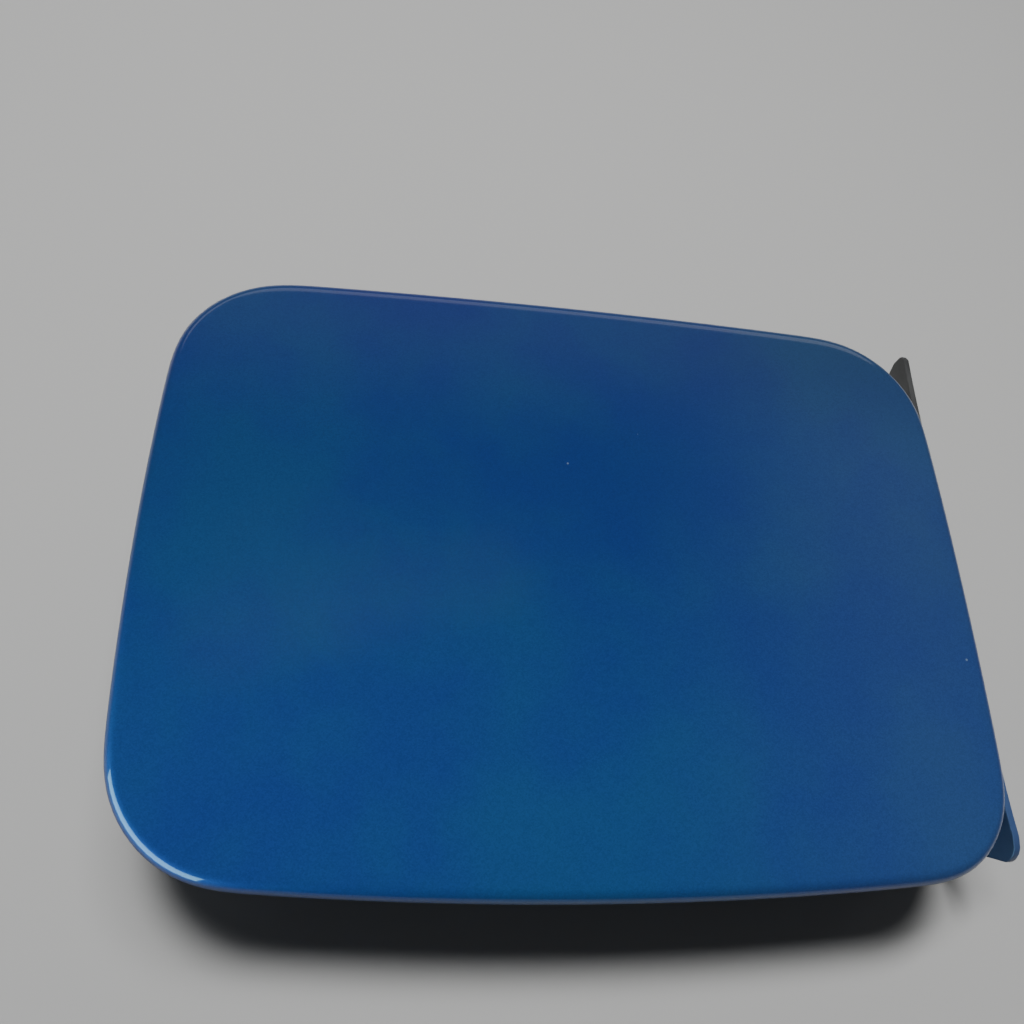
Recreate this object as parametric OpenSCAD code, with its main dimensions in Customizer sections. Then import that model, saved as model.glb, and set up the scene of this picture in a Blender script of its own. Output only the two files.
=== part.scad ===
// Car fuel door: hemmed steel skin on an inner panel, with a gooseneck hinge and a striker loop.
// Millimetres. +Z is the door's outer side, +X the hinge side. The origin is the centre of the hinge base's
// two screw holes, on the underside of its foot.

/* [Door skin] */
// Width between the corner points, across the hinge
door_w = 174; // [150:1:195]
// Height between the corner points, along the hinge
door_h = 126.8; // [110:0.2:150]
// Outward bow of the bottom edge
bow_bottom = 4.5; // [0:0.1:6]
// Outward bow of the hinge edge
bow_hinge = 0.1; // [0:0.1:2]
// Outward bow of the top edge
bow_top = 1.3; // [0:0.1:4]
// Outward bow of the free edge
bow_free = 2.2; // [0:0.1:4]
// Corner length, bottom of the free edge
corner_free_low = 21; // [14:0.5:26]
// Corner length, bottom of the hinge edge
corner_hinge_low = 17.5; // [14:0.5:26]
// Corner length, top of the hinge edge
corner_hinge_high = 23.6; // [14:0.2:26]
// Corner length, top of the free edge
corner_free_high = 22; // [14:0.5:26]
// Radius of the crown along the hinge
crown_r_y = 900; // [600:50:3000]
// Radius of the crown across the hinge
crown_r_x = 3000; // [1500:100:6000]
// Sheet thickness of the skin
skin_t = 0.8; // [0.7:0.05:1]
// Outer radius of the rolled edge
roll_r = 2.6; // [2:0.1:3.4]
// Depth of the edge, from the outer face to the hem's underside
edge_h = 4.4; // [4.2:0.1:6]
// Outer radius of the hem's fold
hem_r = 1.1; // [1:0.05:1.4]
// Width of the hem's return
hem_w = 8; // [6:0.5:9]

/* [Inner panel] */
// Sheet thickness of the inner panel
inner_t = 0.7; // [0.6:0.05:0.9]
// Gap between pieces that are pressed together
seat_gap = 0.1; // [0.05:0.05:0.2]
// Depth from the crown's top to the pan's underside
pan_depth = 8; // [7.8:0.1:10]
// Inset from the door's outline to the pan's flat floor
pan_inset = 15; // [14:0.5:18]
// Height of the raised field above the pan
field_rise = 2.5; // [1.5:0.1:3]
// Width of the web beside each of the two big holes in the field
access_web = 5; // [4:0.5:8]
// Diameter of the coating drain holes
drain_d = 7; // [5:0.5:9]

/* [Hinge arm] */
// Length of the arm along the hinge
arm_l = 125; // [105:1:128]
// Sheet thickness of the arm
arm_t = 1.5; // [1.2:0.1:2]
// Inner radius of the gooseneck bend round the pin
neck_r = 9; // [8.6:0.1:9.6]
// Height of the outer lip above the pin
lip_h = 13.5; // [11:0.5:14]
// Distance from the door's hinge edge to the lip's outer face
lip_beyond = 5.1; // [4.5:0.1:7]
// Corner radius of the lip at its top end
lip_r_high = 1.8; // [1:0.2:4]
// Corner radius of the lip at its bottom end
lip_r_low = 5; // [2:0.5:7]
// Length of the foot that is riveted to the door
foot_l = 22; // [20:0.5:24]
// Width of that foot along the hinge
foot_w = 84; // [80:1:86]
// Height of the pressed beads on the bend
bead_h = 0.9; // [0.5:0.1:1]
// Width of each bead
bead_w = 7; // [5:0.5:9]
// Distance of the two middle beads from the middle of the arm
bead_y = 12; // [10.5:0.5:14]
// How far the bend's top end is cut back below the lip
cope_high = 12; // [0:0.5:13]
// How far the bend's bottom end is cut back below the lip
cope_low = 6; // [0:0.5:13]
// Diameter of the rivets' shanks
rivet_d = 4; // [3.2:0.2:4.4]
// Thickness of the doublers inside the door
doubler_t = 1.2; // [0.8:0.1:1.6]

/* [Hinge pin] */
// Diameter of the hinge pin
pin_d = 5; // [4:0.5:5.5]
// Height of the pin above the mounting face
pin_h = 14; // [13.8:0.1:16]
// Running clearance round the pin
run_gap = 0.05; // [0.02:0.01:0.09]
// Wall of the plastic bushes
bush_wall = 1; // [0.8:0.1:1.2]
// Thickness of the bush flange
flange_t = 1; // [0.8:0.1:1.4]

/* [Hinge base] */
// Sheet thickness of the base
base_t = 2; // [1.5:0.1:2.2]
// Length of the base along the hinge
base_l = 96; // [92:1:110]
// Distance of each screw hole from the base's end
screw_in = 11; // [9:0.5:13]
// Diameter of the screw holes
screw_hole_d = 6.5; // [5.5:0.5:7]
// Distance from the screw line to the pin
screw_to_pin = 18; // [17.5:0.5:22]
// Distance of each bearing ear from the middle
ear_y = 26; // [24:0.5:28]
// Thickness of the bearing ears
ear_t = 2.5; // [2:0.1:3]
// Width of the stop pad under the bend
stop_w = 4.6; // [4:0.1:5]

/* [Spring] */
// Wire diameter of the spring
wire_d = 1.3; // [1:0.1:1.4]
// Number of whole turns of the spring
spring_turns = 4; // [3:1:6]

/* [Striker] */
// Bar diameter of the striker loop
bar_d = 5; // [4:0.5:6]
// Distance between the loop's legs
loop_w = 18; // [16:1:24]
// Distance from the free edge to the striker, across the hinge
striker_in = 24; // [23:0.5:26]
// Thickness of the striker's plate
plate_t = 1.5; // [1.2:0.1:2]
// Width of the striker's plate
plate_w = 18; // [17:0.5:20]
// Length of the plate beyond each leg of the loop
plate_beyond = 7; // [5:0.5:9]

/* [Rubber bumpers] */
// Height of each bumper below the pan
bumper_h = 8; // [5:0.5:12]
// Diameter of each bumper's seat
bumper_d = 12; // [10:0.5:14]
// Diameter of the hole that the bumper's stem snaps into
stem_d = 5; // [4:0.5:6]
// Distance of each bumper from the door's corner points, along the hinge
bumper_in = 25; // [24:0.5:28]

/* [Cap holder] */
// Width of the cap holder
holder_w = 30; // [24:1:34]
// Height of the cap holder below the inner panel
holder_h = 15; // [10:0.5:17]
// Depth of the cap holder across the hinge
holder_d = 15; // [13:0.5:17]
// Wall of the cap holder
holder_t = 2; // [1.6:0.2:2.6]
// Width of the slot that holds the cap's grip
holder_slot = 11; // [8:0.5:12]
// Diameter of the holder's rivets
holder_rivet_d = 3.2; // [2.4:0.2:3.6]

/* [Mastic pads] */
// Diameter of each soft pad between the panels
pad_d = 10; // [6:0.5:14]

/* [Hidden] */
$fn = 64;

blue = "#0f4a7c";
coat = "#2b3038";
zinc = "#a9a695";
black = "#17181a";
// Distance of the lip's outer face from the door's middle
lip_off = door_w / 2 + lip_beyond;
neck_ro = neck_r + arm_t;
pin_x = screw_to_pin;
mid_x = pin_x + neck_ro - lip_off;
mid_y = -3.6;
// Height of the pan's underside and of the crown's top
pan_z = pin_h + 16;
top_z = pan_z + pan_depth;
clear = 0.3;
pin_r = pin_d / 2;
bush_ri = pin_r + run_gap;
bush_ro = bush_ri + bush_wall;

// The outline: bowed edges, joined by blended corners, in the order bottom, hinge, top, free.
lean_bottom = 1.6;
lean_free = 1.1;
edge_n = 9;
corner_n = 9;
corners = [[-door_w / 2, -door_h / 2], [door_w / 2, -door_h / 2 + lean_bottom], [door_w / 2, door_h / 2],
    [-door_w / 2 - lean_free, door_h / 2]];
bows = [bow_bottom, bow_hinge, bow_top, bow_free];
blends = [corner_free_low, corner_hinge_low, corner_hinge_high, corner_free_high];
function span(i) = corners[(i + 1) % 4] - corners[i];
function outward(i) = [span(i)[1], -span(i)[0]] / norm(span(i));
function start_s(i) = blends[i] / norm(span(i));
function end_s(i) = 1 - blends[(i + 1) % 4] / norm(span(i));
function on_edge(i, s) = corners[i] + s * span(i) + 4 * s * (1 - s) * bows[i] * outward(i);
function along(i, s) = span(i) + 4 * (1 - 2 * s) * bows[i] * outward(i);
function cross2(a, b) = a[0] * b[1] - a[1] * b[0];
function meeting(a, u, b, v) = a + u * cross2(b - a, v) / cross2(u, v);
function cubic(a, b, c, d, t) =
    a * pow(1 - t, 3) + b * 3 * t * pow(1 - t, 2) + c * 3 * t * t * (1 - t) + d * pow(t, 3);
function corner_point(i, t) =
    let (
        before = (i + 3) % 4,
        a = on_edge(before, end_s(before)),
        d = on_edge(i, start_s(i)),
        tip = meeting(a, along(before, end_s(before)), d, along(i, start_s(i)))
    ) cubic(a, a + (tip - a) * 0.5523, d + (tip - d) * 0.5523, d, t);
outline = [for (i = [0:3]) each concat(
    [for (k = [0:corner_n - 1]) corner_point(i, k / corner_n)],
    [for (k = [0:edge_n - 1]) on_edge(i, start_s(i) + (end_s(i) - start_s(i)) * k / edge_n)])];
count = len(outline);
function turned(v) = [v[1], -v[0]] / norm(v);
outward_at = [for (i = [0:count - 1]) turned(outline[(i + 1) % count] - outline[(i + count - 1) % count])];
function inset(d) = [for (i = [0:count - 1]) outline[i] - d * outward_at[i]];

// Depth of the crowned surface at a point, seen from the crown's top
function crown(p) = -p[1] * p[1] / (2 * crown_r_y) - p[0] * p[0] / (2 * crown_r_x);
function crowned(loop, drop) = [for (p = loop) [p[0], p[1], crown(p) - drop]];
function level(loop, z) = [for (p = loop) [p[0], p[1], z]];

// A closed shell through a list of rings with as many points each, capped at both ends.
module ring_solid(rings, first, last) {
    n = len(rings[0]);
    rows = len(rings);
    points = concat([first], [for (r = rings) each r], [last]);
    faces = concat(
        [for (i = [0:n - 1]) [0, 1 + i, 1 + (i + 1) % n]],
        [for (k = [0:rows - 2], i = [0:n - 1]) each
            let (a = 1 + k * n + i, b = 1 + k * n + (i + 1) % n) [[a, a + n, b], [b, a + n, b + n]]],
        [for (i = [0:n - 1]) [1 + rows * n, 1 + (rows - 1) * n + (i + 1) % n, 1 + (rows - 1) * n + i]]);
    polyhedron(points = points, faces = [for (f = faces) [f[0], f[2], f[1]]]);
}

module at_door() {
    translate([mid_x, mid_y, top_z]) children();
}

module at_pin() {
    translate([pin_x, 0, pin_h]) children();
}

// Turns a flat shape drawn in X and Z into a plate that is thick along Y, centred on y.
module plate_xz(y, thick) {
    translate([0, y, 0]) rotate([90, 0, 0]) linear_extrude(height = thick, center = true) children();
}

// A round bar or bore along Y, from y0 to y1.
module bar_y(r, y0, y1) {
    translate([0, y0, 0]) rotate([-90, 0, 0]) cylinder(r = r, h = y1 - y0);
}

module rounded(w, h, r) {
    square([w - 2 * r, h], center = true);
    square([w, h - 2 * r], center = true);
    for (x = [-1, 1], y = [-1, 1]) translate([x * (w / 2 - r), y * (h / 2 - r)]) circle(r = r);
}

// A quarter ring between two radii, in the quadrant given by two signs.
module quarter(r_in, r_out, sx, sy) {
    intersection() {
        difference() {
            circle(r = r_out);
            circle(r = r_in);
        }
        translate([sx > 0 ? 0 : -r_out, sy > 0 ? 0 : -r_out]) square(r_out);
    }
}

soft_inset = 14;
skin_fractions = [0.16, 0.34, 0.52, 0.7, 0.86];
roll_steps = 5;
roll_angles = [for (k = [0:roll_steps]) 90 - 90 * k / roll_steps];

module outer_skin() {
    hem_ri = hem_r - skin_t;
    roll_ri = roll_r - skin_t;
    plain = inset(soft_inset);
    outer = concat(
        [for (f = skin_fractions) crowned(plain * f, 0)],
        [for (d = [soft_inset, 9, 5.5]) crowned(inset(d), 0)],
        [for (a = roll_angles) crowned(inset(roll_r * (1 - cos(a))), roll_r * (1 - sin(a)))],
        [for (a = [0, 45, 90]) crowned(inset(hem_r * (1 - cos(a))), edge_h - hem_r * (1 - sin(a)))],
        [crowned(inset(hem_w), edge_h), crowned(inset(hem_w), edge_h - skin_t)],
        [for (a = [90, 0]) crowned(inset(skin_t + hem_ri * (1 - cos(a))), edge_h - hem_r + hem_ri * sin(a))],
        [for (k = [roll_steps:-1:0]) let (a = roll_angles[k])
            crowned(inset(skin_t + roll_ri * (1 - cos(a))), skin_t + roll_ri * (1 - sin(a)))],
        [for (d = [5.5, 9, soft_inset]) crowned(inset(d), skin_t)],
        [for (k = [len(skin_fractions) - 1:-1:0]) crowned(plain * skin_fractions[k], skin_t)]);
    color(blue) at_door() ring_solid(outer, [0, 0, 0], [0, 0, -skin_t]);
}

// The raised field of the inner panel
field_x0 = -door_w / 2 + 40;
field_x1 = door_w / 2 - 47;
field_y0 = -door_h / 2 + 25;
field_y1 = door_h / 2 - 27;
field_slope = 4;
field_w = field_x1 - field_x0;
field_h = field_y1 - field_y0;
field_mid = [(field_x0 + field_x1) / 2, (field_y0 + field_y1) / 2];

// A rounded rectangle with one point for each point of the outline, so that their rings can be joined.
function soft_rect(grow) = [for (p = inset(pan_inset))
    let (
        q = [p[0] / (door_w / 2 - pan_inset), p[1] / (door_h / 2 - pan_inset)],
        s = pow(pow(abs(q[0]), 8) + pow(abs(q[1]), 8), 1 / 8)
    ) field_mid + [q[0] / s * (field_w / 2 + grow), q[1] / s * (field_h / 2 + grow)]];

flange_drop = edge_h - skin_t - seat_gap;
field_z = pan_z + field_rise;
fold_r = 1.5;
foot_mid = pin_x - neck_ro - fold_r - foot_l / 2;
rivet_xs = [foot_mid - foot_l / 2 + 6, foot_mid + foot_l / 2 - 6];
rivet_ys = [-foot_w / 2 + 9, 0, foot_w / 2 - 9];
rivet_hole_d = rivet_d + 2 * seat_gap;
access_d = (field_w - holder_d) / 2 - 2 * access_web;
access_xs = [field_x0 + access_web + access_d / 2, field_x1 - access_web - access_d / 2];
rim_t = 1;
rim_h = 1.6;

module inner_panel() {
    flange_in = hem_w + 2;
    flange_out = skin_t + 1;
    field_drop = -pan_depth + field_rise;
    rings = [
        level(soft_rect(0), field_drop + inner_t),
        level(soft_rect(field_slope), -pan_depth + inner_t),
        level(inset(pan_inset + 0.3), -pan_depth + inner_t),
        crowned(inset(flange_in), -inner_t + flange_drop),
        crowned(inset(flange_out), -inner_t + flange_drop),
        crowned(inset(flange_out), flange_drop),
        crowned(inset(flange_in), flange_drop),
        level(inset(pan_inset), -pan_depth),
        level(soft_rect(field_slope), -pan_depth),
        level(soft_rect(0), field_drop)];
    color(coat) difference() {
        union() {
            at_door() ring_solid(rings, [field_mid[0], field_mid[1], field_drop + inner_t],
                [field_mid[0], field_mid[1], field_drop]);
            // turned-down rims of the access holes
            for (x = access_xs) translate([mid_x + x, mid_y, field_z - rim_h])
                cylinder(d = access_d + 2 * rim_t, h = rim_h + inner_t / 2);
        }
        for (x = rivet_xs, y = rivet_ys) translate([x, y, pan_z - 1]) cylinder(d = rivet_hole_d, h = 4);
        for (x = striker_rivet_xs) translate([x, mid_y, pan_z - 1]) cylinder(d = rivet_hole_d, h = 4);
        for (s = [-1, 1]) translate([bumper_x, mid_y + s * bumper_y, pan_z - 1])
            cylinder(d = stem_d, h = 4);
        for (x = access_xs) translate([mid_x + x, mid_y, pan_z]) cylinder(d = access_d, h = field_rise + 3);
        for (x = [field_x0 + 8, field_x1 - 8], y = [field_y0 + 10, field_y1 - 10])
            translate([mid_x + x, mid_y + y, pan_z]) cylinder(d = drain_d, h = field_rise + 3);
        for (s = [-1, 1]) translate([holder_x + holder_rivet_x, mid_y + s * holder_rivet_y, pan_z])
            cylinder(d = holder_rivet_d + seat_gap, h = field_rise + 3);
    }
}

// Profile of the arm in X and Z, with the pin at the origin: foot, bend, leg, neck round the pin, outer lip.
foot_top = pan_z - pin_h;
module arm_profile(extra = 0) {
    r_in = neck_r + extra;
    r_out = neck_ro + extra;
    fold_x = -neck_ro - fold_r;
    fold_z = foot_top - arm_t - fold_r;
    quarter(r_in, r_out, -1, -1);
    quarter(r_in, r_out, 1, -1);
    translate([-r_out, 0]) square([arm_t, fold_z]);
    translate([neck_r + extra, 0]) square([arm_t, lip_h - extra * 3]);
    if (extra == 0) {
        translate([fold_x, fold_z]) quarter(fold_r, fold_r + arm_t, 1, 1);
        translate([fold_x - foot_l, foot_top - arm_t]) square([foot_l, arm_t]);
    }
}

ear_side = ear_t / 2 + flange_t + clear + arm_t / 2;
arm_ear_y = ear_y + ear_side;
spring_r = 5.4;
spring_pitch = wire_d + 0.15;
spring_y0 = ear_y - ear_t / 2 - flange_t - clear - wire_d / 2;
leg_tip = [-19, foot_top - arm_t - clear - wire_d / 2];
leg_angle = atan2(leg_tip[1], leg_tip[0]) - acos(spring_r / norm(leg_tip));
tang_angle = 240;
turn_sum = leg_angle + 360 * (spring_turns + 1) - tang_angle;
leg_y = spring_y0 - spring_pitch * turn_sum / 360;
slot_gap = 1.2;
bead_y_end = arm_l * 0.37;
bead_ys = [-bead_y_end, -bead_y, bead_y, bead_y_end];

module hinge_arm() {
    reach = foot_l + neck_ro + fold_r;
    cope_z = lip_h * 0.7;
    cope_h = cope_z + neck_ro + 2;
    color(coat) difference() {
        at_pin() {
            difference() {
                union() {
                    plate_xz(0, arm_l) arm_profile();
                    for (y = bead_ys) plate_xz(y, bead_w) arm_profile(bead_h);
                }
                // the beads' hollow side
                for (y = bead_ys) bar_y(neck_r + bead_h, y - bead_w / 2 + arm_t, y + bead_w / 2 - arm_t);
                // both ends, cut back on a slant below the lip
                for (end = [[1, cope_high], [-1, cope_low]]) let (s = end[0], cut = end[1])
                    translate([-neck_ro - 2, s * arm_l / 2, cope_z]) rotate([90, 0, 90])
                    linear_extrude(height = 2 * neck_ro + 4)
                    polygon([[0, 0], [-s * cut, -cope_h], [s * (cut + 1), -cope_h], [s * (cut + 1), 0]]);
                // the foot's outline in plan, narrower than the neck
                for (s = [-1, 1]) translate([-reach - 1, s > 0 ? foot_w / 2 : -arm_l, neck_r + 1.5])
                    cube([reach - neck_r + 1.2, arm_l - foot_w / 2, 10]);
                // rounded corners of the outer lip
                for (end = [[-1, lip_r_low], [1, lip_r_high]]) let (s = end[0], r = end[1])
                    translate([neck_r - 1, s * (arm_l / 2 - r), lip_h - r])
                    rotate([90, 0, 90]) linear_extrude(height = arm_t + 3) difference() {
                        translate([s > 0 ? 0 : -r - 1, 0]) square(r + 1);
                        circle(r = r);
                    }
                // slots that let the base's ears reach the pin through the whole swing
                for (s = [-1, 1]) translate([-6.2, s * ear_y - ear_t / 2 - slot_gap, -neck_ro - 2])
                    cube([neck_ro + 8.2, ear_t + 2 * slot_gap, neck_ro + 2 + 5.4]);
                // slot that lets the spring's leg reach the foot
                translate([-neck_ro - 1, leg_y - 2.6, -neck_ro - 2])
                    cube([neck_ro - 4.6, 5.2, neck_ro + 2 + 11.6]);
            }
            // ears that hold the pin
            for (s = [-1, 1]) plate_xz(s * arm_ear_y, arm_t) {
                circle(r = pin_r + 2.7);
                translate([-neck_r - arm_t / 2, -pin_r - 2.7]) square([neck_r + arm_t / 2, 2 * pin_r + 5.4]);
            }
        }
        at_pin() bar_y(pin_r + 0.02, -arm_l / 2, arm_l / 2);
        for (x = rivet_xs, y = rivet_ys) translate([x, y, pan_z - arm_t - 1])
            cylinder(d = rivet_hole_d, h = arm_t + 2);
        // lightening holes of the foot
        for (s = [-1, 1]) translate([foot_mid, s * rivet_ys[2] / 2, pan_z - arm_t - 1])
            linear_extrude(height = arm_t + 2) rounded(9, 14, 4.4);
    }
}

// A rivet that points up: a domed head under z0, a shank, and a flat tail on top of the stack.
module rivet(z0, stack) {
    translate([0, 0, z0]) {
        cylinder(d = rivet_d, h = stack);
        translate([0, 0, stack]) cylinder(d = rivet_d * 1.5, h = 1);
        intersection() {
            translate([0, 0, 3.6]) sphere(r = 5.4);
            translate([0, 0, -1.8]) cylinder(r = rivet_d * 0.95, h = 1.8);
        }
    }
}

module arm_rivets() {
    color(zinc) for (x = rivet_xs, y = rivet_ys) translate([x, y, 0])
        rivet(pan_z - arm_t, arm_t + inner_t + doubler_t);
}

module hinge_doubler() {
    color(coat) difference() {
        translate([foot_mid, 0, pan_z + inner_t]) linear_extrude(height = doubler_t)
            rounded(foot_l - 2, foot_w - 6, 4);
        for (x = rivet_xs, y = rivet_ys) translate([x, y, pan_z]) cylinder(d = rivet_hole_d, h = 4);
    }
}

base_in = 9;
base_out = 15.5;
screw_pitch = base_l - 2 * screw_in;
ear_x0 = -5.5;
ear_x1 = 3;

module hinge_base() {
    base_w = screw_to_pin + base_in + base_out;
    color(coat) difference() {
        union() {
            translate([base_w / 2 - base_in, 0, 0]) linear_extrude(height = base_t)
                rounded(base_w, base_l, 5);
            at_pin() for (s = [-1, 1]) plate_xz(s * ear_y, ear_t) {
                circle(r = bush_ro + 2.4);
                translate([ear_x0, base_t / 2 - pin_h]) square([ear_x1 - ear_x0, pin_h - base_t / 2]);
            }
            // stiffening flange along the inner edge
            plate_xz(0, base_l - 16) {
                translate([-base_in, 2.5]) square([base_t, 4.5]);
                translate([-base_in + 3.5, 3.5]) quarter(1.5, 3.5, -1, -1);
                translate([-base_in, 2.5]) square([base_t, 1.1]);
            }
        }
        // the flange's bend takes the sheet's square edge away
        plate_xz(0, base_l - 16) difference() {
            translate([-base_in - 1, -1]) square([4.5, 4.5]);
            translate([-base_in + 3.5, 3.5]) circle(r = 3.5);
        }
        at_pin() bar_y(bush_ro + 0.02, -base_l / 2, base_l / 2);
        for (s = [-1, 1]) translate([0, s * screw_pitch / 2, -1]) cylinder(d = screw_hole_d, h = base_t + 2);
        // windows that the ears were folded up from
        for (s = [-1, 1]) translate([pin_x + (ear_x0 + ear_x1) / 2, s * (ear_y - ear_t / 2 - 8.5), -1])
            linear_extrude(height = base_t + 2) rounded(ear_x1 - ear_x0, 16.4, 2);
        at_pin() rotate([0, -tang_angle, 0]) translate([spring_r, 0, 0])
            bar_y(wire_d / 2 + seat_gap, ear_y - ear_t, ear_y + ear_t);
    }
}

pin_end = arm_ear_y + arm_t / 2;
clip_t = 0.8;
groove_y = pin_end + clear;

module hinge_pin() {
    color(zinc) at_pin() difference() {
        union() {
            bar_y(pin_r, -pin_end, groove_y + clip_t + 2.2);
            bar_y(pin_r + 1.4, -pin_end - 1.8, -pin_end);
        }
        difference() {
            bar_y(pin_r + 1, groove_y, groove_y + clip_t + seat_gap);
            bar_y(pin_r - 0.7, groove_y - 1, groove_y + clip_t + 1);
        }
    }
}

module pin_clip() {
    color(zinc) at_pin() plate_xz(groove_y + clip_t / 2 + seat_gap / 2, clip_t) difference() {
        circle(r = pin_r + 2.2);
        circle(r = pin_r - 0.6);
        translate([-1.5, 0]) square([3, pin_r + 4]);
        for (a = [25, 155]) rotate(a) translate([pin_r + 0.4, 0]) circle(r = 0.9);
    }
}

// A flanged bush in one of the base's ears, its flange on the outer or inner side.
module bush(side) {
    y0 = ear_y - ear_t / 2;
    color(black) at_pin() rotate([0, 0, side > 0 ? 0 : 180]) difference() {
        union() {
            bar_y(bush_ro, y0 - flange_t, y0 + ear_t + flange_t);
            for (y = [y0 - flange_t, y0 + ear_t]) bar_y(bush_ro + 1, y, y + flange_t);
        }
        bar_y(bush_ri, 0, base_l);
    }
}

module bush_upper() {
    bush(1);
}

module bush_lower() {
    bush(-1);
}

module spacer_tube() {
    half = ear_y - ear_t / 2 - flange_t - clear;
    color(black) at_pin() difference() {
        bar_y(pin_r + 1.6, -half, half);
        bar_y(bush_ri, -half - 1, half + 1);
    }
}

// The wire's centre line: tang in the ear, coil round the pin, straight leg with a turned tip.
wire_sides = 8;
turn_steps = 18;
function on_coil(a) =
    [spring_r * cos(a), spring_y0 - spring_pitch * (a - tang_angle) / 360, spring_r * sin(a)];
leg_dir = [cos(leg_angle + 90), 0, sin(leg_angle + 90)];
leg_len = sqrt(norm(leg_tip) * norm(leg_tip) - spring_r * spring_r);
leg_end = on_coil(tang_angle + turn_sum) + leg_dir * leg_len;
coil_count = ceil(turn_sum / 360 * turn_steps);
wire_path = concat(
    [on_coil(tang_angle) + [0, ear_t / 2 + flange_t + wire_d, 0], on_coil(tang_angle) + [0, wire_d, 0]],
    [for (k = [0:coil_count]) on_coil(tang_angle + turn_sum * k / coil_count)],
    [leg_end, leg_end + [-1.6, 0, -0.5], leg_end + [-2.8, 0, -1.8], leg_end + [-3.2, 0, -3.4]]);

function unit(v) = v / norm(v);
function heading(i) = unit(wire_path[min(i + 1, len(wire_path) - 1)] - wire_path[max(i - 1, 0)]);
// A side direction that stays across the wire, seen from the pin's axis
function side_at(i) = let (
        p = wire_path[i],
        h = heading(i),
        s = i < 2 || abs(h[1]) > 0.5 ? unit([p[0], 0, p[2]]) : [0, 1, 0]
    ) unit(s - h * (s * h));
function wire_ring(i, r) =
    let (u = side_at(i), v = cross(heading(i), u), step = 360 / wire_sides)
    [for (k = [0:wire_sides - 1]) wire_path[i] + r * (u * cos(k * step) + v * sin(k * step))];

module hinge_spring() {
    rings = [for (i = [0:len(wire_path) - 1]) wire_ring(i, wire_d / 2)];
    color(zinc) at_pin() ring_solid(rings, wire_path[0], wire_path[len(wire_path) - 1]);
}

module stop_pad() {
    stop_l = 2 * bead_y - bead_w - 2;
    color(black) translate([pin_x + base_out - 0.7 - stop_w / 2, 0, base_t])
        linear_extrude(height = pin_h - base_t - neck_ro - clear) rounded(stop_w, stop_l, 1.5);
}

striker_x = mid_x - door_w / 2 + striker_in;
striker_rivet_xs = [striker_x - plate_w / 4, striker_x + plate_w / 4];
plate_l = loop_w + 2 * plate_beyond;
bar_r = bar_d / 2;
bend_r = 3;
module striker_loop() {
    side = loop_w / 2;
    top = pan_z - plate_t;
    color(zinc) translate([striker_x, mid_y, 0]) {
        for (s = [-1, 1]) translate([0, s * side, bar_r + bend_r])
            cylinder(r = bar_r, h = top - bar_r - bend_r);
        translate([0, 0, bar_r]) bar_y(bar_r, -side + bend_r, side - bend_r);
        for (s = [0, 180]) rotate(s) translate([0, side - bend_r, bar_r + bend_r]) rotate([0, 90, 0])
            rotate_extrude(angle = 90) translate([bend_r, 0]) circle(r = bar_r);
    }
}

module striker_plate() {
    color(coat) difference() {
        translate([striker_x, mid_y, pan_z - plate_t]) linear_extrude(height = plate_t)
            rounded(plate_w, plate_l, 3.5);
        for (x = striker_rivet_xs) translate([x, mid_y, 0]) cylinder(d = rivet_hole_d, h = pan_z + 2);
    }
}

module striker_doubler() {
    color(coat) difference() {
        translate([striker_x, mid_y, pan_z + inner_t]) linear_extrude(height = doubler_t)
            rounded(plate_w - 1.6, plate_l - 2, 3);
        for (x = striker_rivet_xs) translate([x, mid_y, 0]) cylinder(d = rivet_hole_d, h = pan_z + 4);
    }
}

module striker_rivets() {
    color(zinc) for (x = striker_rivet_xs) translate([x, mid_y, 0])
        rivet(pan_z - plate_t, plate_t + inner_t + doubler_t);
}

bumper_x = mid_x - door_w / 2 + 25;
bumper_y = door_h / 2 - bumper_in;
// A push-in rubber cushion: seat, cone and barbed stem, turned round its own axis.
module bumper(y) {
    r = bumper_d / 2;
    stem_r = stem_d / 2;
    color(black) translate([bumper_x, mid_y + y, pan_z]) rotate_extrude() polygon([[0, 2.6 + inner_t],
        [stem_r - 0.9, 2.6 + inner_t], [stem_r + 0.6, inner_t + seat_gap],
        [stem_r - seat_gap, inner_t + seat_gap], [stem_r - seat_gap, 0], [r, 0], [r, -2], [r - 1.4, -3],
        [r - 2.4, -bumper_h + 1], [r - 3.2, -bumper_h], [0, -bumper_h]]);
}

module bumper_upper() {
    bumper(bumper_y);
}

module bumper_lower() {
    bumper(-bumper_y);
}

holder_x = mid_x + field_mid[0];
holder_rivet_x = 2.5;
holder_rivet_y = holder_w / 4;

// Moulded bracket that the cap hangs in: a base, a wall with two gussets, and a slotted shelf.
module cap_holder() {
    wall_x = -holder_d / 2;
    slot_x = wall_x + holder_t + 1.5 + holder_slot / 2;
    color(black) translate([holder_x, mid_y, field_z]) difference() {
        union() {
            translate([0, 0, -holder_t]) linear_extrude(height = holder_t) rounded(holder_d, holder_w, 3);
            translate([wall_x, -holder_w / 2 + 3, -holder_h]) cube([holder_t, holder_w - 6, holder_h - 1]);
            translate([0, 0, -holder_h]) linear_extrude(height = holder_t) rounded(holder_d, holder_w - 4, 3);
            for (s = [-1, 1]) plate_xz(s * (holder_w / 2 - 3), 1.6) translate([wall_x, 0])
                polygon([[1, -1], [9, -1], [holder_t, -8], [1, -8]]);
        }
        translate([slot_x, 0, -holder_h - 1]) linear_extrude(height = holder_t + 2) {
            circle(d = holder_slot);
            translate([0, -holder_slot / 2]) square([holder_d, holder_slot]);
        }
        for (s = [-1, 1]) translate([holder_rivet_x, s * holder_rivet_y, -holder_t - 1])
            cylinder(d = holder_rivet_d + seat_gap, h = holder_t + 2);
    }
}

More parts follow.
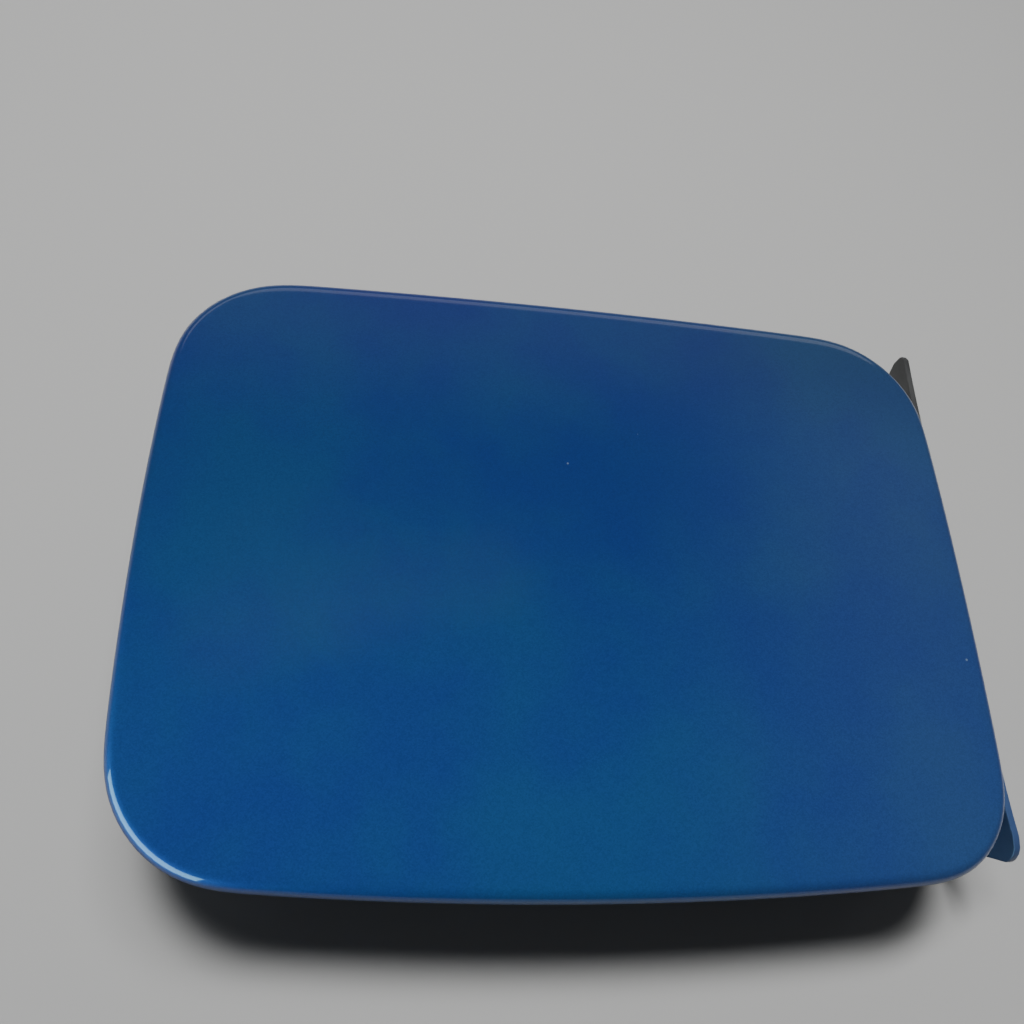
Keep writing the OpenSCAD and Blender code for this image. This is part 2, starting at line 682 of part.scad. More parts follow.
module holder_rivets() {
    r = holder_rivet_d / 2;
    color(zinc) translate([holder_x + holder_rivet_x, mid_y, field_z])
        for (s = [-1, 1]) translate([0, s * holder_rivet_y, 0]) {
        translate([0, 0, -holder_t]) cylinder(r = r, h = holder_t + inner_t);
        translate([0, 0, inner_t]) cylinder(r = r * 1.6, h = 0.9);
        translate([0, 0, -holder_t - 0.9]) cylinder(r1 = r * 1.5, r2 = r * 1.9, h = 0.9);
    }
}

// Soft pads between the skin and the field, each as high as the crown leaves room for.
module mastic_pads() {
    pad_r = pad_d / 2;
    z0 = field_z + inner_t;
    spots = [for (q = [[-0.45, -0.2], [0, 0.38], [0.45, -0.2]]) field_mid + [q[0] * field_w, q[1] * field_h]];
    color(black) for (p = spots) let (far = [abs(p[0]) + pad_r, abs(p[1]) + pad_r])
        translate([mid_x + p[0], mid_y + p[1], z0])
        cylinder(r = pad_r, h = top_z + crown(far) - skin_t - seat_gap - z0);
}

outer_skin();
inner_panel();
hinge_arm();
arm_rivets();
hinge_doubler();
hinge_base();
hinge_pin();
pin_clip();
bush_upper();
bush_lower();
spacer_tube();
hinge_spring();
stop_pad();
striker_loop();
striker_plate();
striker_doubler();
striker_rivets();
bumper_upper();
bumper_lower();
cap_holder();
holder_rivets();
mastic_pads();
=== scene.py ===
# %% [markdown]
# # A car fuel door
# This lesson dresses a finished CAD model of a car's fuel door: a steel skin that is hemmed round an inner
# panel, carried by a gooseneck hinge and shut by a striker. The CAD model is loaded first and stays as it
# is. Each cell then makes one piece or one finish, in metres, where the CAD model says that it belongs.

# %% Load the CAD model
import math

import bpy
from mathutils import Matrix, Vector


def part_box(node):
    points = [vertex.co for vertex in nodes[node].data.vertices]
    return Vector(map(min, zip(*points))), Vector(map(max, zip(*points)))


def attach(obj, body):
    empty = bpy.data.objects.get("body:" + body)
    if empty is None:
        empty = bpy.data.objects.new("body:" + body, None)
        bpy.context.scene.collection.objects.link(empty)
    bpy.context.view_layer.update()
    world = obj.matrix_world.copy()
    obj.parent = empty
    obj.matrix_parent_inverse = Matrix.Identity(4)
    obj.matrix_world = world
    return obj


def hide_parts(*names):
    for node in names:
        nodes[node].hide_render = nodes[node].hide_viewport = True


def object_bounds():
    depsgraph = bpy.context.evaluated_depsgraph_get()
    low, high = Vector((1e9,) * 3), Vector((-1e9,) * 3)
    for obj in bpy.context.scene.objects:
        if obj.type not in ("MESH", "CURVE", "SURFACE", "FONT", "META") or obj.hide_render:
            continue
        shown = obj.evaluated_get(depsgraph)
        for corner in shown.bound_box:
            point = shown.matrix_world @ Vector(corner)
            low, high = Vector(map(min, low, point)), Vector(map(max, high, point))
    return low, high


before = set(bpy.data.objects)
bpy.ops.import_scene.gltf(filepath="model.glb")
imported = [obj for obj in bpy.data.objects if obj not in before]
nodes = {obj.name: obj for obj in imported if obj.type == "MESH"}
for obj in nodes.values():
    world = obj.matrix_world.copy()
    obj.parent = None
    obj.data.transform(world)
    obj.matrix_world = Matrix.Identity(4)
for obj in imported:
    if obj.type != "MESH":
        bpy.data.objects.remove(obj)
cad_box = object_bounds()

MM = 0.001
print("the CAD model's box, in mm:", [[round(v / MM, 1) for v in corner] for corner in cad_box])

# %% [markdown]
# ## The camera
# The photograph was taken close above the door, from its free lower corner. A perspective fit of the door's
# outline gave the camera's place, its turn and its angle of view. The camera is made first, so that every
# later step can be judged from where the photograph was taken. Its place is counted from the middle of the
# door's outer face.

# %% Place the camera
skin_low, skin_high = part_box("outer_skin")
arm_low, arm_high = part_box("hinge_arm")
BEAD_H, LIP_TO_MIDDLE, MIDDLE_Y = 0.9 * MM, 92.1 * MM, -3.6 * MM
DOOR_MIDDLE = Vector((arm_high.x - BEAD_H - LIP_TO_MIDDLE, MIDDLE_Y, skin_high.z))
HALF_WIDTH = (skin_high.x - skin_low.x) / 2
CAMERA_OFFSET = Vector((-44.4, -71.9, 166.7)) * MM
CAMERA_TURN = (0.440, -0.168, -0.006)
FOCAL_PX, FRAME_PX, SENSOR_MM = 900, 1024, 36

camera_data = bpy.data.cameras.new("camera")
camera_data.sensor_width = SENSOR_MM
camera_data.lens = SENSOR_MM * FOCAL_PX / FRAME_PX
camera_data.clip_start = 0.005
camera = bpy.data.objects.new("camera", camera_data)
camera.location = DOOR_MIDDLE + CAMERA_OFFSET
camera.rotation_euler = CAMERA_TURN
bpy.context.scene.collection.objects.link(camera)
bpy.context.scene.camera = camera
print("lens", round(camera_data.lens, 2), "mm, camera at", [round(v / MM, 1) for v in camera.location], "mm")

# %% [markdown]
# ## Floor and light
# A plain pale floor and soft lamps show the paint best. Glossy paint is a mirror in part, so what counts is
# where the lamps stand. The door's face mirrors one part of the sky towards the camera, and no lamp shows
# there. The key stands near, above the door and a little behind it: it lights the paint's own colour and
# throws the shadow under the bottom edge. A weak sun from the same side keeps the far floor light. Both are
# kept out of mirror images, as a photographer does with a polarising filter. A long softbox behind the door
# draws the pale band on the top edge. A strip low on the free side shows only in mirror images, like a
# reflector card, and draws the bright line on the rolled edge. The world's weak light fills the shadows, and
# only the camera sees its grey backdrop.

# %% Helpers for floor and lamps
def deselect():
    """Every operator acts on what is selected, so each step starts with nothing selected."""
    if bpy.context.object and bpy.context.object.mode != "OBJECT":
        bpy.ops.object.mode_set(mode="OBJECT")
    bpy.ops.object.select_all(action="DESELECT")


def new_lamp(name, kind, direction, strength, colour=(1, 1, 1)):
    """A lamp that shines from a direction."""
    data = bpy.data.lights.new(name, kind)
    data.energy = strength
    data.color = colour
    lamp = bpy.data.objects.new(name, data)
    lamp.rotation_euler = Vector(direction).normalized().to_track_quat("Z", "Y").to_euler()
    bpy.context.scene.collection.objects.link(lamp)
    return lamp


def soft_lamp(name, direction, distance, width, height, watts, colour=(1, 1, 1)):
    """A rectangular area lamp that faces the door's middle. The width lies level."""
    lamp = new_lamp(name, "AREA", direction, watts, colour)
    lamp.data.shape = "RECTANGLE"
    lamp.data.size, lamp.data.size_y = width, height
    lamp.location = DOOR_MIDDLE + Vector(direction).normalized() * distance
    return lamp


def plain_material(name, colour, roughness):
    """A Principled material with its node tree, to be dressed further."""
    material = bpy.data.materials.new(name)
    material.use_nodes = True
    shader = material.node_tree.nodes["Principled BSDF"]
    shader.inputs["Base Color"].default_value = (*colour, 1)
    shader.inputs["Roughness"].default_value = roughness
    return material, shader


# %% Build the floor and the lamps
deselect()
FLOOR_SIZE, FLOOR_GAP = 4, 0.05 * MM
bpy.ops.mesh.primitive_plane_add(size=FLOOR_SIZE, location=(0, 0, cad_box[0][2] - FLOOR_GAP))
floor = bpy.context.object
floor.name = "floor"
floor_material, floor_shader = plain_material("pale_floor", (0.40, 0.40, 0.396), 0.8)
floor_shader.inputs["Specular IOR Level"].default_value = 0.03
floor.data.materials.append(floor_material)

key = soft_lamp("key_above_and_behind", (-0.11, 0.29, 1.0), 0.62, 0.34, 0.1, 3.3)
even = new_lamp("even_light", "SUN", (-0.1, 0.38, 1.0), 1.85)
even.data.angle = math.radians(14)
key.visible_glossy = even.visible_glossy = False
soft_lamp("softbox_behind", (0.0, 1.0, 0.66), 1.2, 1.7, 0.24, 1.6)
low_strip = soft_lamp("low_strip_free_side", (-0.82, -0.6, 0.13), 0.5, 0.5, 0.3, 6.0, (0.36, 0.82, 1.0))
low_strip.visible_diffuse = False

world = bpy.data.worlds.new("studio")
world.use_nodes = True
tree = world.node_tree
sky = tree.nodes["Background"]
sky.inputs["Color"].default_value = (0.93, 0.93, 0.94, 1)
sky.inputs["Strength"].default_value = 0.06
backdrop = tree.nodes.new("ShaderNodeBackground")
backdrop.inputs["Color"].default_value = (0.3, 0.3, 0.3, 1)
seen = tree.nodes.new("ShaderNodeLightPath")
either = tree.nodes.new("ShaderNodeMixShader")
tree.links.new(seen.outputs["Is Camera Ray"], either.inputs["Fac"])
tree.links.new(sky.outputs["Background"], either.inputs[1])
tree.links.new(backdrop.outputs["Background"], either.inputs[2])
tree.links.new(either.outputs["Shader"], tree.nodes["World Output"].inputs["Surface"])
bpy.context.scene.world = world

# %% [markdown]
# ## Effects that several finishes share
# Real paint is never one flat colour. A slow cloudiness comes from the flake's density, a fine sparkle from
# the flake itself, and dust sits on top. Each effect is a node group with named sockets, built once, so that
# every material can use it at its own strength. The groups read the Object coordinates, which stay with the
# piece.

# %% Helpers for node groups
def new_group(name, inputs, outputs):
    """An empty shader node group. inputs are (name, type, default), outputs are (name, type)."""
    group = bpy.data.node_groups.new(name, "ShaderNodeTree")
    for label, kind, default in inputs:
        socket = group.interface.new_socket(label, in_out="INPUT", socket_type=kind)
        socket.default_value = default
    for label, kind in outputs:
        group.interface.new_socket(label, in_out="OUTPUT", socket_type=kind)
    return group, group.nodes.new("NodeGroupInput"), group.nodes.new("NodeGroupOutput")


def feed(tree, socket, value):
    """Gives a socket its value: a number, a colour or another node's socket."""
    if isinstance(value, (int, float)):
        socket.default_value = value
    elif isinstance(value, tuple):
        socket.default_value = (*value, 1)
    else:
        tree.links.new(value, socket)


def value_node(tree, operation, *values):
    """A Math node whose inputs are numbers or other nodes' sockets."""
    node = tree.nodes.new("ShaderNodeMath")
    node.operation = operation
    for socket, value in zip(node.inputs, values):
        feed(tree, socket, value)
    return node.outputs[0]


def noise_node(tree, vector, scale, detail=3.0, roughness=0.5):
    """A Noise Texture's value. scale counts its lumps to the metre."""
    node = tree.nodes.new("ShaderNodeTexNoise")
    settings = ("Vector", vector), ("Scale", scale), ("Detail", detail), ("Roughness", roughness)
    for name, value in settings:
        feed(tree, node.inputs[name], value)
    return node.outputs["Fac"]


def cell_nodes(tree, vector, scale):
    """A Voronoi texture, and its cells' random colours split into channels."""
    cells = tree.nodes.new("ShaderNodeTexVoronoi")
    tree.links.new(vector, cells.inputs["Vector"])
    tree.links.new(scale, cells.inputs["Scale"])
    split = tree.nodes.new("ShaderNodeSeparateColor")
    tree.links.new(cells.outputs["Color"], split.inputs["Color"])
    return cells, split


def spread(tree, value, low, high):
    """The value, stretched so that low becomes 0 and high becomes 1."""
    node = tree.nodes.new("ShaderNodeMapRange")
    node.interpolation_type = "SMOOTHSTEP"
    for name, number in (("Value", value), ("From Min", low), ("From Max", high)):
        feed(tree, node.inputs[name], number)
    return node.outputs["Result"]


# A Mix node's sockets for colours, by number, because their names repeat.
MIX_FACTOR, MIX_FIRST, MIX_SECOND, MIX_RESULT = 0, 6, 7, 2


def mix_node(tree, factor, first, second, blend="MIX"):
    """A colour between two, which are colours or other nodes' sockets."""
    node = tree.nodes.new("ShaderNodeMix")
    node.data_type = "RGBA"
    node.blend_type = blend
    for index, value in ((MIX_FACTOR, factor), (MIX_FIRST, first), (MIX_SECOND, second)):
        feed(tree, node.inputs[index], value)
    return node.outputs[MIX_RESULT]


# %% Build the shared effects
def build_clouds():
    """A slow drift between two colours."""
    group, inside, outside = new_group("slow_clouds", [
        ("Vector", "NodeSocketVector", (0, 0, 0)),
        ("Deep", "NodeSocketColor", (0, 0, 0, 1)),
        ("Bright", "NodeSocketColor", (1, 1, 1, 1)),
        ("Lumps per metre", "NodeSocketFloat", 20.0)], [("Color", "NodeSocketColor")])
    drift = noise_node(group, inside.outputs["Vector"], inside.outputs["Lumps per metre"], 4.0, 0.55)
    share = spread(group, drift, 0.32, 0.68)
    colour = mix_node(group, share, inside.outputs["Deep"], inside.outputs["Bright"])
    group.links.new(colour, outside.inputs["Color"])
    return group


def build_flake():
    """Metal flake's sparkle: a grain to multiply the colour with, and a height for a bump."""
    group, inside, outside = new_group("fine_flake", [
        ("Vector", "NodeSocketVector", (0, 0, 0)),
        ("Flakes per metre", "NodeSocketFloat", 5200.0),
        ("Strength", "NodeSocketFloat", 0.3)], [
        ("Grain", "NodeSocketColor"),
        ("Height", "NodeSocketFloat")])
    split = cell_nodes(group, inside.outputs["Vector"], inside.outputs["Flakes per metre"])[1]
    swing = value_node(group, "SUBTRACT", split.outputs["Red"], 0.5)
    swing = value_node(group, "MULTIPLY", swing, inside.outputs["Strength"])
    level = value_node(group, "ADD", 1.0, swing)
    join = group.nodes.new("ShaderNodeCombineColor")
    for channel in ("Red", "Green", "Blue"):
        group.links.new(level, join.inputs[channel])
    group.links.new(join.outputs["Color"], outside.inputs["Grain"])
    group.links.new(split.outputs["Green"], outside.inputs["Height"])
    return group


def build_specks():
    """A few pale specks of dust: only a share of the cells holds one."""
    group, inside, outside = new_group("dust_specks", [
        ("Vector", "NodeSocketVector", (0, 0, 0)),
        ("Cells per metre", "NodeSocketFloat", 60.0),
        ("Size", "NodeSocketFloat", 0.03),
        ("Share", "NodeSocketFloat", 0.1)], [("Mask", "NodeSocketFloat")])
    cells, split = cell_nodes(group, inside.outputs["Vector"], inside.outputs["Cells per metre"])
    dot = value_node(group, "LESS_THAN", cells.outputs["Distance"], inside.outputs["Size"])
    chosen = value_node(group, "LESS_THAN", split.outputs["Blue"], inside.outputs["Share"])
    group.links.new(value_node(group, "MULTIPLY", dot, chosen), outside.inputs["Mask"])
    return group


def build_grain():
    """A fine uneven surface: a height for a bump, and a factor that roughness can follow."""
    group, inside, outside = new_group("fine_grain", [
        ("Vector", "NodeSocketVector", (0, 0, 0)),
        ("Lumps per metre", "NodeSocketFloat", 1500.0),
        ("Low", "NodeSocketFloat", 0.35),
        ("High", "NodeSocketFloat", 0.5)], [
        ("Height", "NodeSocketFloat"),
        ("Roughness", "NodeSocketFloat")])
    lumps = noise_node(group, inside.outputs["Vector"], inside.outputs["Lumps per metre"], 3.0, 0.6)
    group.links.new(lumps, outside.inputs["Height"])
    slow = value_node(group, "MULTIPLY", inside.outputs["Lumps per metre"], 0.08)
    patches = spread(group, noise_node(group, inside.outputs["Vector"], slow, 4.0, 0.6), 0.3, 0.7)
    reach = value_node(group, "SUBTRACT", inside.outputs["High"], inside.outputs["Low"])
    rough = value_node(group, "MULTIPLY", patches, reach)
    rough = value_node(group, "ADD", rough, inside.outputs["Low"])
    group.links.new(rough, outside.inputs["Roughness"])
    return group


def build_overspray():
    """Where a spray gun's mist has settled: full beyond one height along an axis, ragged in between."""
    group, inside, outside = new_group("overspray", [
        ("Vector", "NodeSocketVector", (0, 0, 0)),
        ("Along", "NodeSocketFloat", 0.0),
        ("None at", "NodeSocketFloat", 0.0),
        ("Full at", "NodeSocketFloat", 0.01),
        ("Specks per metre", "NodeSocketFloat", 900.0)], [("Mask", "NodeSocketFloat")])
    ramp = group.nodes.new("ShaderNodeMapRange")
    for name, source in (("Value", "Along"), ("From Min", "None at"), ("From Max", "Full at")):
        group.links.new(inside.outputs[source], ramp.inputs[name])
    cloud = noise_node(group, inside.outputs["Vector"], 130.0, 3.0, 0.6)
    mist = noise_node(group, inside.outputs["Vector"], inside.outputs["Specks per metre"], 2.0, 0.7)
    cloud, mist = value_node(group, "MULTIPLY", cloud, 0.7), value_node(group, "MULTIPLY", mist, 0.5)
    uneven = value_node(group, "SUBTRACT", value_node(group, "ADD", cloud, mist), 0.6)
    level = value_node(group, "ADD", ramp.outputs["Result"], uneven)
    group.links.new(spread(group, level, 0.15, 0.85), outside.inputs["Mask"])
    return group


clouds_group, flake_group, specks_group = build_clouds(), build_flake(), build_specks()
grain_group, overspray_group = build_grain(), build_overspray()
print("shared effects:", [g.name for g in bpy.data.node_groups])

# %% Helpers for materials
def use_group(tree, group, vector, **values):
    """The group in a material, fed with the vector and its own values. An underscore stands for a space."""
    node = tree.nodes.new("ShaderNodeGroup")
    node.node_tree = group
    tree.links.new(vector, node.inputs["Vector"])
    for name, value in values.items():
        feed(tree, node.inputs[name.replace("_", " ")], value)
    return node


def object_vector(tree):
    """The Object coordinates, in metres: they stay with the piece when it moves."""
    return tree.nodes.new("ShaderNodeTexCoord").outputs["Object"]


def coordinate(tree, axis):
    """One of the Object coordinates as a value: axis is "X", "Y" or "Z"."""
    split = tree.nodes.new("ShaderNodeSeparateXYZ")
    tree.links.new(object_vector(tree), split.inputs["Vector"])
    return split.outputs[axis]


def bump(tree, shader, height, strength, distance):
    """Feeds a height to the shader's Normal."""
    node = tree.nodes.new("ShaderNodeBump")
    node.inputs["Strength"].default_value = strength
    node.inputs["Distance"].default_value = distance
    tree.links.new(height, node.inputs["Height"])
    tree.links.new(node.outputs["Normal"], shader.inputs["Normal"])


# %% [markdown]
# ## The body paint
# The door's paint is a dark metallic blue under clear lacquer. Its colour drifts slowly between royal blue
# and blue-green. Light is painted into it too. Towards the hinge it is paler and redder, as a painted
# reflection, and towards the foot it is brighter, as painted light. At the top it is greyer on the free
# side, as a painted reflection, and darker on the hinge side, as painted shade. A ragged pale grey line runs
# along the fold of the low edge. The fold is found by an attribute on the skin's mesh, which tells how far
# round the edge a point lies, and the lacquer's shine ends where the fold begins.

# %% Mix the body paint
BODY_LUMPS = 20.0
# The painted_light multipliers are painted light. The foot is brighter, the free side's top is greyer as a
# painted reflection, and the hinge side's top is darker as painted shade. The hinge side's paler, redder
# clouds are a painted reflection.
FREE_SIDE = {
    "clouds": ((0.0118, 0.039, 0.180), (0.0106, 0.058, 0.174)),
    "painted_light": ((1.08, 1.22, 1.22), (0.88, 0.87, 0.88), (1.55, 0.9, 0.86))}
HINGE_SIDE = {
    "clouds": ((0.025, 0.053, 0.194), (0.027, 0.069, 0.188)),
    "painted_light": ((0.97, 1.08, 1.14), (0.96, 0.98, 0.95), (0.74, 0.8, 0.72))}
FOOT_TO_MIDDLE, MIDDLE_TO_TOP = (-60 * MM, 30 * MM), (20 * MM, 60 * MM)
# The pale grey of the line on the low edge's fold, and the dust's colour and share.
FOLD_GREY, DUST, DUST_SHARE = (0.36, 0.37, 0.37), (0.3, 0.42, 0.5), 0.4
LACQUER, METAL_TO_LACQUER = 0.8, 0.375
# Where the lacquer ends, and the fold begins and ends, as shares of the way round the edge.
LACQUER_ENDS, FOLD_BEGINS, FOLD_ENDS = (0.25, 0.5), (0.74, 0.84), (0.95, 0.995)
LOW_EDGE, LOW_EDGE_ENDS = (-57 * MM, -61.5 * MM), ((-0.90, -0.78), (0.86, 0.30))


def along(tree, axis, start, end):
    """Rises from 0 to 1 between two places along an axis, counted from the door's middle."""
    origin = DOOR_MIDDLE["XYZ".index(axis)]
    return spread(tree, coordinate(tree, axis), origin + start, origin + end)


def clouds_under_painted_light(tree, side, from_foot, near_top):
    """A side's clouds times painted light from the foot over the middle to the top: a brighter foot, and a
    top that is greyer on the free side and darker on the hinge side.
    """
    deep, bright = side["clouds"]
    at_foot, halfway, at_top = side["painted_light"]
    clouds = use_group(tree, clouds_group, object_vector(tree), Deep=deep, Bright=bright,
                       Lumps_per_metre=BODY_LUMPS)
    shade = mix_node(tree, near_top, mix_node(tree, from_foot, at_foot, halfway), at_top)
    return mix_node(tree, 1.0, clouds.outputs["Color"], shade, "MULTIPLY")


def pale_fold_line(tree, turned):
    """Where the pale grey line shows: ragged, on the fold, and only along the low edge."""
    mask = spread(tree, noise_node(tree, object_vector(tree), 75.0, 4.0, 0.6), 0.40, 0.62)
    before_end = value_node(tree, "SUBTRACT", 1.0, spread(tree, turned, *FOLD_ENDS))
    limits = [spread(tree, turned, *FOLD_BEGINS), before_end, along(tree, "Y", *LOW_EDGE)]
    limits += [along(tree, "X", start * HALF_WIDTH, end * HALF_WIDTH) for start, end in LOW_EDGE_ENDS]
    for limit in limits:
        mask = value_node(tree, "MULTIPLY", mask, limit)
    return mask


def body_paint():
    """Metallic base coat under lacquer, with painted light and painted reflection mixed into its colour."""
    material, shader = plain_material("body_paint", (0.01, 0.08, 0.22), 0.48)
    tree = material.node_tree
    where = object_vector(tree)
    from_foot, near_top = along(tree, "Y", *FOOT_TO_MIDDLE), along(tree, "Y", *MIDDLE_TO_TOP)
    sides = [clouds_under_painted_light(tree, side, from_foot, near_top) for side in (FREE_SIDE, HINGE_SIDE)]
    # Towards the hinge the colour turns paler and redder: a painted reflection.
    colour = mix_node(tree, along(tree, "X", 0, 0.9 * HALF_WIDTH), *sides)
    flake = use_group(tree, flake_group, where, Flakes_per_metre=4200.0, Strength=0.2)
    colour = mix_node(tree, 1.0, colour, flake.outputs["Grain"], "MULTIPLY")
    fold = tree.nodes.new("ShaderNodeAttribute")
    fold.attribute_name = "edge_turn"
    turned = fold.outputs["Fac"]
    colour = mix_node(tree, pale_fold_line(tree, turned), colour, FOLD_GREY)
    dust = use_group(tree, specks_group, where, Cells_per_metre=55.0, Size=0.014, Share=0.12)
    dusty = value_node(tree, "MULTIPLY", dust.outputs["Mask"], DUST_SHARE)
    tree.links.new(mix_node(tree, dusty, colour, DUST), shader.inputs["Base Color"])
    lacquer = value_node(tree, "SUBTRACT", 1.0, spread(tree, turned, *LACQUER_ENDS))
    lacquer = value_node(tree, "MULTIPLY", lacquer, LACQUER)
    metal = value_node(tree, "MULTIPLY", lacquer, METAL_TO_LACQUER)
    tree.links.new(lacquer, shader.inputs["Coat Weight"])
    tree.links.new(metal, shader.inputs["Metallic"])
    shader.inputs["Specular IOR Level"].default_value = 0.08
    shader.inputs["Coat Roughness"].default_value = 0.06
    bump(tree, shader, flake.outputs["Height"], 0.05, 0.00002)
    return material


paint = body_paint()
print("body paint has", len(paint.node_tree.nodes), "nodes")

# %% [markdown]
# ## The outer skin
# The skin is one sheet, pressed to a slight crown, rolled over at its edge and folded back under as a hem.
# It could be a thickened copy of the CAD shell, but that shell has too few points round its outline, which
# a glossy finish would show. So the outline is read from the CAD shell, set anew with four times the points
# and rounded off a little. It is laid on a circle primitive and extruded ring by ring: inwards for the
# crown, then outwards and under for the edge. Solidify then gives the sheet its thickness.

# %% Read the outline from the CAD skin
CROWN_RADIUS_Y, CROWN_RADIUS_X = 900 * MM, 3000 * MM
SKIN_T, ROLL_R, HEM_R, HEM_W, EDGE_H = 0.8 * MM, 2.6 * MM, 1.1 * MM, 8 * MM, 4.4 * MM
POINTS_EACH, RELAX_ROUNDS = 4, 8


def convex_outline(points):
    """The outermost points, in order round the middle, as a lower and an upper chain."""
    points = sorted(set((round(x, 7), round(y, 7)) for x, y in points))

    def half(run):
        chain = []
        for p in run:
            while len(chain) > 1 and (
                (chain[-1][0] - chain[-2][0]) * (p[1] - chain[-2][1])
                - (chain[-1][1] - chain[-2][1]) * (p[0] - chain[-2][0])
            ) <= 0:
                chain.pop()
            chain.append(p)
        return chain

    return half(points)[:-1] + half(points[::-1])[:-1]


def evenly(loop, count):
    """A closed loop's points, set anew at even steps along it."""
    corners = [Vector(p) for p in loop] + [Vector(loop[0])]
    lengths = [(b - a).length for a, b in zip(corners, corners[1:])]
    step, result, side, gone = sum(lengths) / count, [], 0, 0.0
    for k in range(count):
        while side < len(lengths) - 1 and gone + lengths[side] < k * step:
            gone += lengths[side]
            side += 1
        result.append(corners[side].lerp(corners[side + 1], (k * step - gone) / lengths[side]))
    return result


def relaxed(loop, rounds):
    """The loop with each point drawn towards its neighbours, which rounds off its small kinks."""
    for _ in range(rounds):
        loop = [(loop[i - 1] + p * 2 + loop[(i + 1) % len(loop)]) / 4 for i, p in enumerate(loop)]
    return loop


shell = nodes["outer_skin"].data
coarse = convex_outline([(v.co.x - DOOR_MIDDLE.x, v.co.y - DOOR_MIDDLE.y) for v in shell.vertices])
outline = relaxed(evenly(coarse, POINTS_EACH * len(coarse)), RELAX_ROUNDS)
outward = []
for i, p in enumerate(outline):
    run = outline[(i + 1) % len(outline)] - outline[i - 1]
    outward.append(Vector((run.y, -run.x)).normalized())
print("outline:", len(coarse), "points in the CAD shell,", len(outline), "in the smooth loop")


# %% Helpers for rings and meshes
def crown(x, y):
    """How far the crowned face lies below its top, as a negative height."""
    return -y * y / (2 * CROWN_RADIUS_Y) - x * x / (2 * CROWN_RADIUS_X)


def ring(inset, drop, scale=1.0):
    """The outline, moved inwards and down, as points in the scene's frame."""
    points = []
    for p, out in zip(outline, outward):
        q = (p - out * inset) * scale
        points.append(DOOR_MIDDLE + Vector((q.x, q.y, crown(q.x, q.y) - drop)))
    return points


def select_only(piece):
    """The piece alone is selected and active."""
    deselect()
    bpy.context.view_layer.objects.active = piece
    piece.select_set(True)


def lay_round(vertices, middle, points):
    """Lays the vertices on the points. Both are taken in order round their own middle."""
    vertices = sorted(vertices, key=lambda v: math.atan2(v.co.y - middle.y, v.co.x - middle.x))
    points = sorted(points, key=lambda p: math.atan2(p.y - DOOR_MIDDLE.y, p.x - DOOR_MIDDLE.x))
    for vertex, point in zip(vertices, points):
        vertex.co = point


def extrude_to(piece, points):
    """Extrudes the selected ring and lays the new one on the points, outside edit mode."""
    bpy.ops.mesh.extrude_edges_move()
    bpy.ops.object.mode_set(mode="OBJECT")
    lay_round([v for v in piece.data.vertices if v.select], DOOR_MIDDLE, points)
    bpy.ops.object.mode_set(mode="EDIT")


def circle_piece(name, corners):
    """An open circle primitive with so many corners, to be laid on a shape."""
    deselect()
    bpy.ops.mesh.primitive_circle_add(vertices=corners, radius=0.05, fill_type="NOTHING")
    piece = bpy.context.object
    piece.name = piece.data.name = name
    return piece


def grown_inwards(name, first, rings):
    """A sheet from its first ring inwards over the others to one point. It stays in edit mode."""
    piece = circle_piece(name, len(first))
    lay_round(piece.data.vertices, Vector((0, 0, 0)), first)
    piece.data.update()
    bpy.ops.object.mode_set(mode="EDIT")
    bpy.ops.mesh.select_mode(type="EDGE")
    bpy.ops.mesh.select_all(action="SELECT")
    for points in rings:
        extrude_to(piece, points)
    bpy.ops.mesh.merge(type="COLLAPSE")
    return piece


def edit_all():
    """Edit mode, with everything selected."""
    bpy.ops.object.mode_set(mode="EDIT")
    bpy.ops.mesh.select_all(action="SELECT")


def face_outwards():
    """Turns every face of the edited mesh outwards."""
    bpy.ops.mesh.select_all(action="SELECT")
    bpy.ops.mesh.normals_make_consistent(inside=False)


def finish_mesh(piece, angle=40):
    """Smooth shading up to the angle, in degrees."""
    select_only(piece)
    bpy.ops.object.shade_smooth_by_angle(angle=math.radians(angle))


def apply_modifiers(piece):
    """Applies every modifier, in order."""
    select_only(piece)
    for modifier in list(piece.modifiers):
        bpy.ops.object.modifier_apply(modifier=modifier.name)


def thicken(piece, thickness, offset):
    """Gives a surface its sheet thickness. The offset says on which side: -1 is inside and 0 is both."""
    sheet = piece.modifiers.new("sheet", "SOLIDIFY")
    sheet.thickness = thickness
    sheet.offset = offset
    apply_modifiers(piece)


# %% Model the crown, the rolled edge and the hem
ROLL_STEPS, FOLD_STEPS, CROWN_RINGS = 10, 8, 26
EVEN_BAND, BAND_SHARE = 14 * MM, 0.25


def crown_ring(share):
    """The crown's rings keep the outline's form near the edge, and shrink evenly further in."""
    inset = ROLL_R + (EVEN_BAND - ROLL_R) * min(share / BAND_SHARE, 1)
    return ring(inset, 0, min(1, (1 - share) / (1 - BAND_SHARE)))


def angles(first, last, steps):
    """Angles in radians, at even steps from the first to the last, which are in degrees."""
    return [math.radians(first + (last - first) * k / steps) for k in range(steps + 1)]


skin = grown_inwards("painted_skin", ring(ROLL_R, 0),
                     [crown_ring(k / CROWN_RINGS) for k in range(1, CROWN_RINGS)])
edge_rings = [(ROLL_R * (1 - math.cos(a)), ROLL_R * (1 - math.sin(a)))
              for a in angles(90, 0, ROLL_STEPS)[1:]]
edge_rings += [(HEM_R * (1 - math.cos(a)), EDGE_H - HEM_R + HEM_R * math.sin(a))
               for a in angles(0, 90, FOLD_STEPS)]
edge_rings += [(HEM_W * 0.5, EDGE_H), (HEM_W, EDGE_H)]
bpy.ops.mesh.select_all(action="DESELECT")
bpy.ops.mesh.select_non_manifold()
for inset, drop in edge_rings:
    extrude_to(skin, ring(inset, drop))
face_outwards()
bpy.ops.object.mode_set(mode="OBJECT")

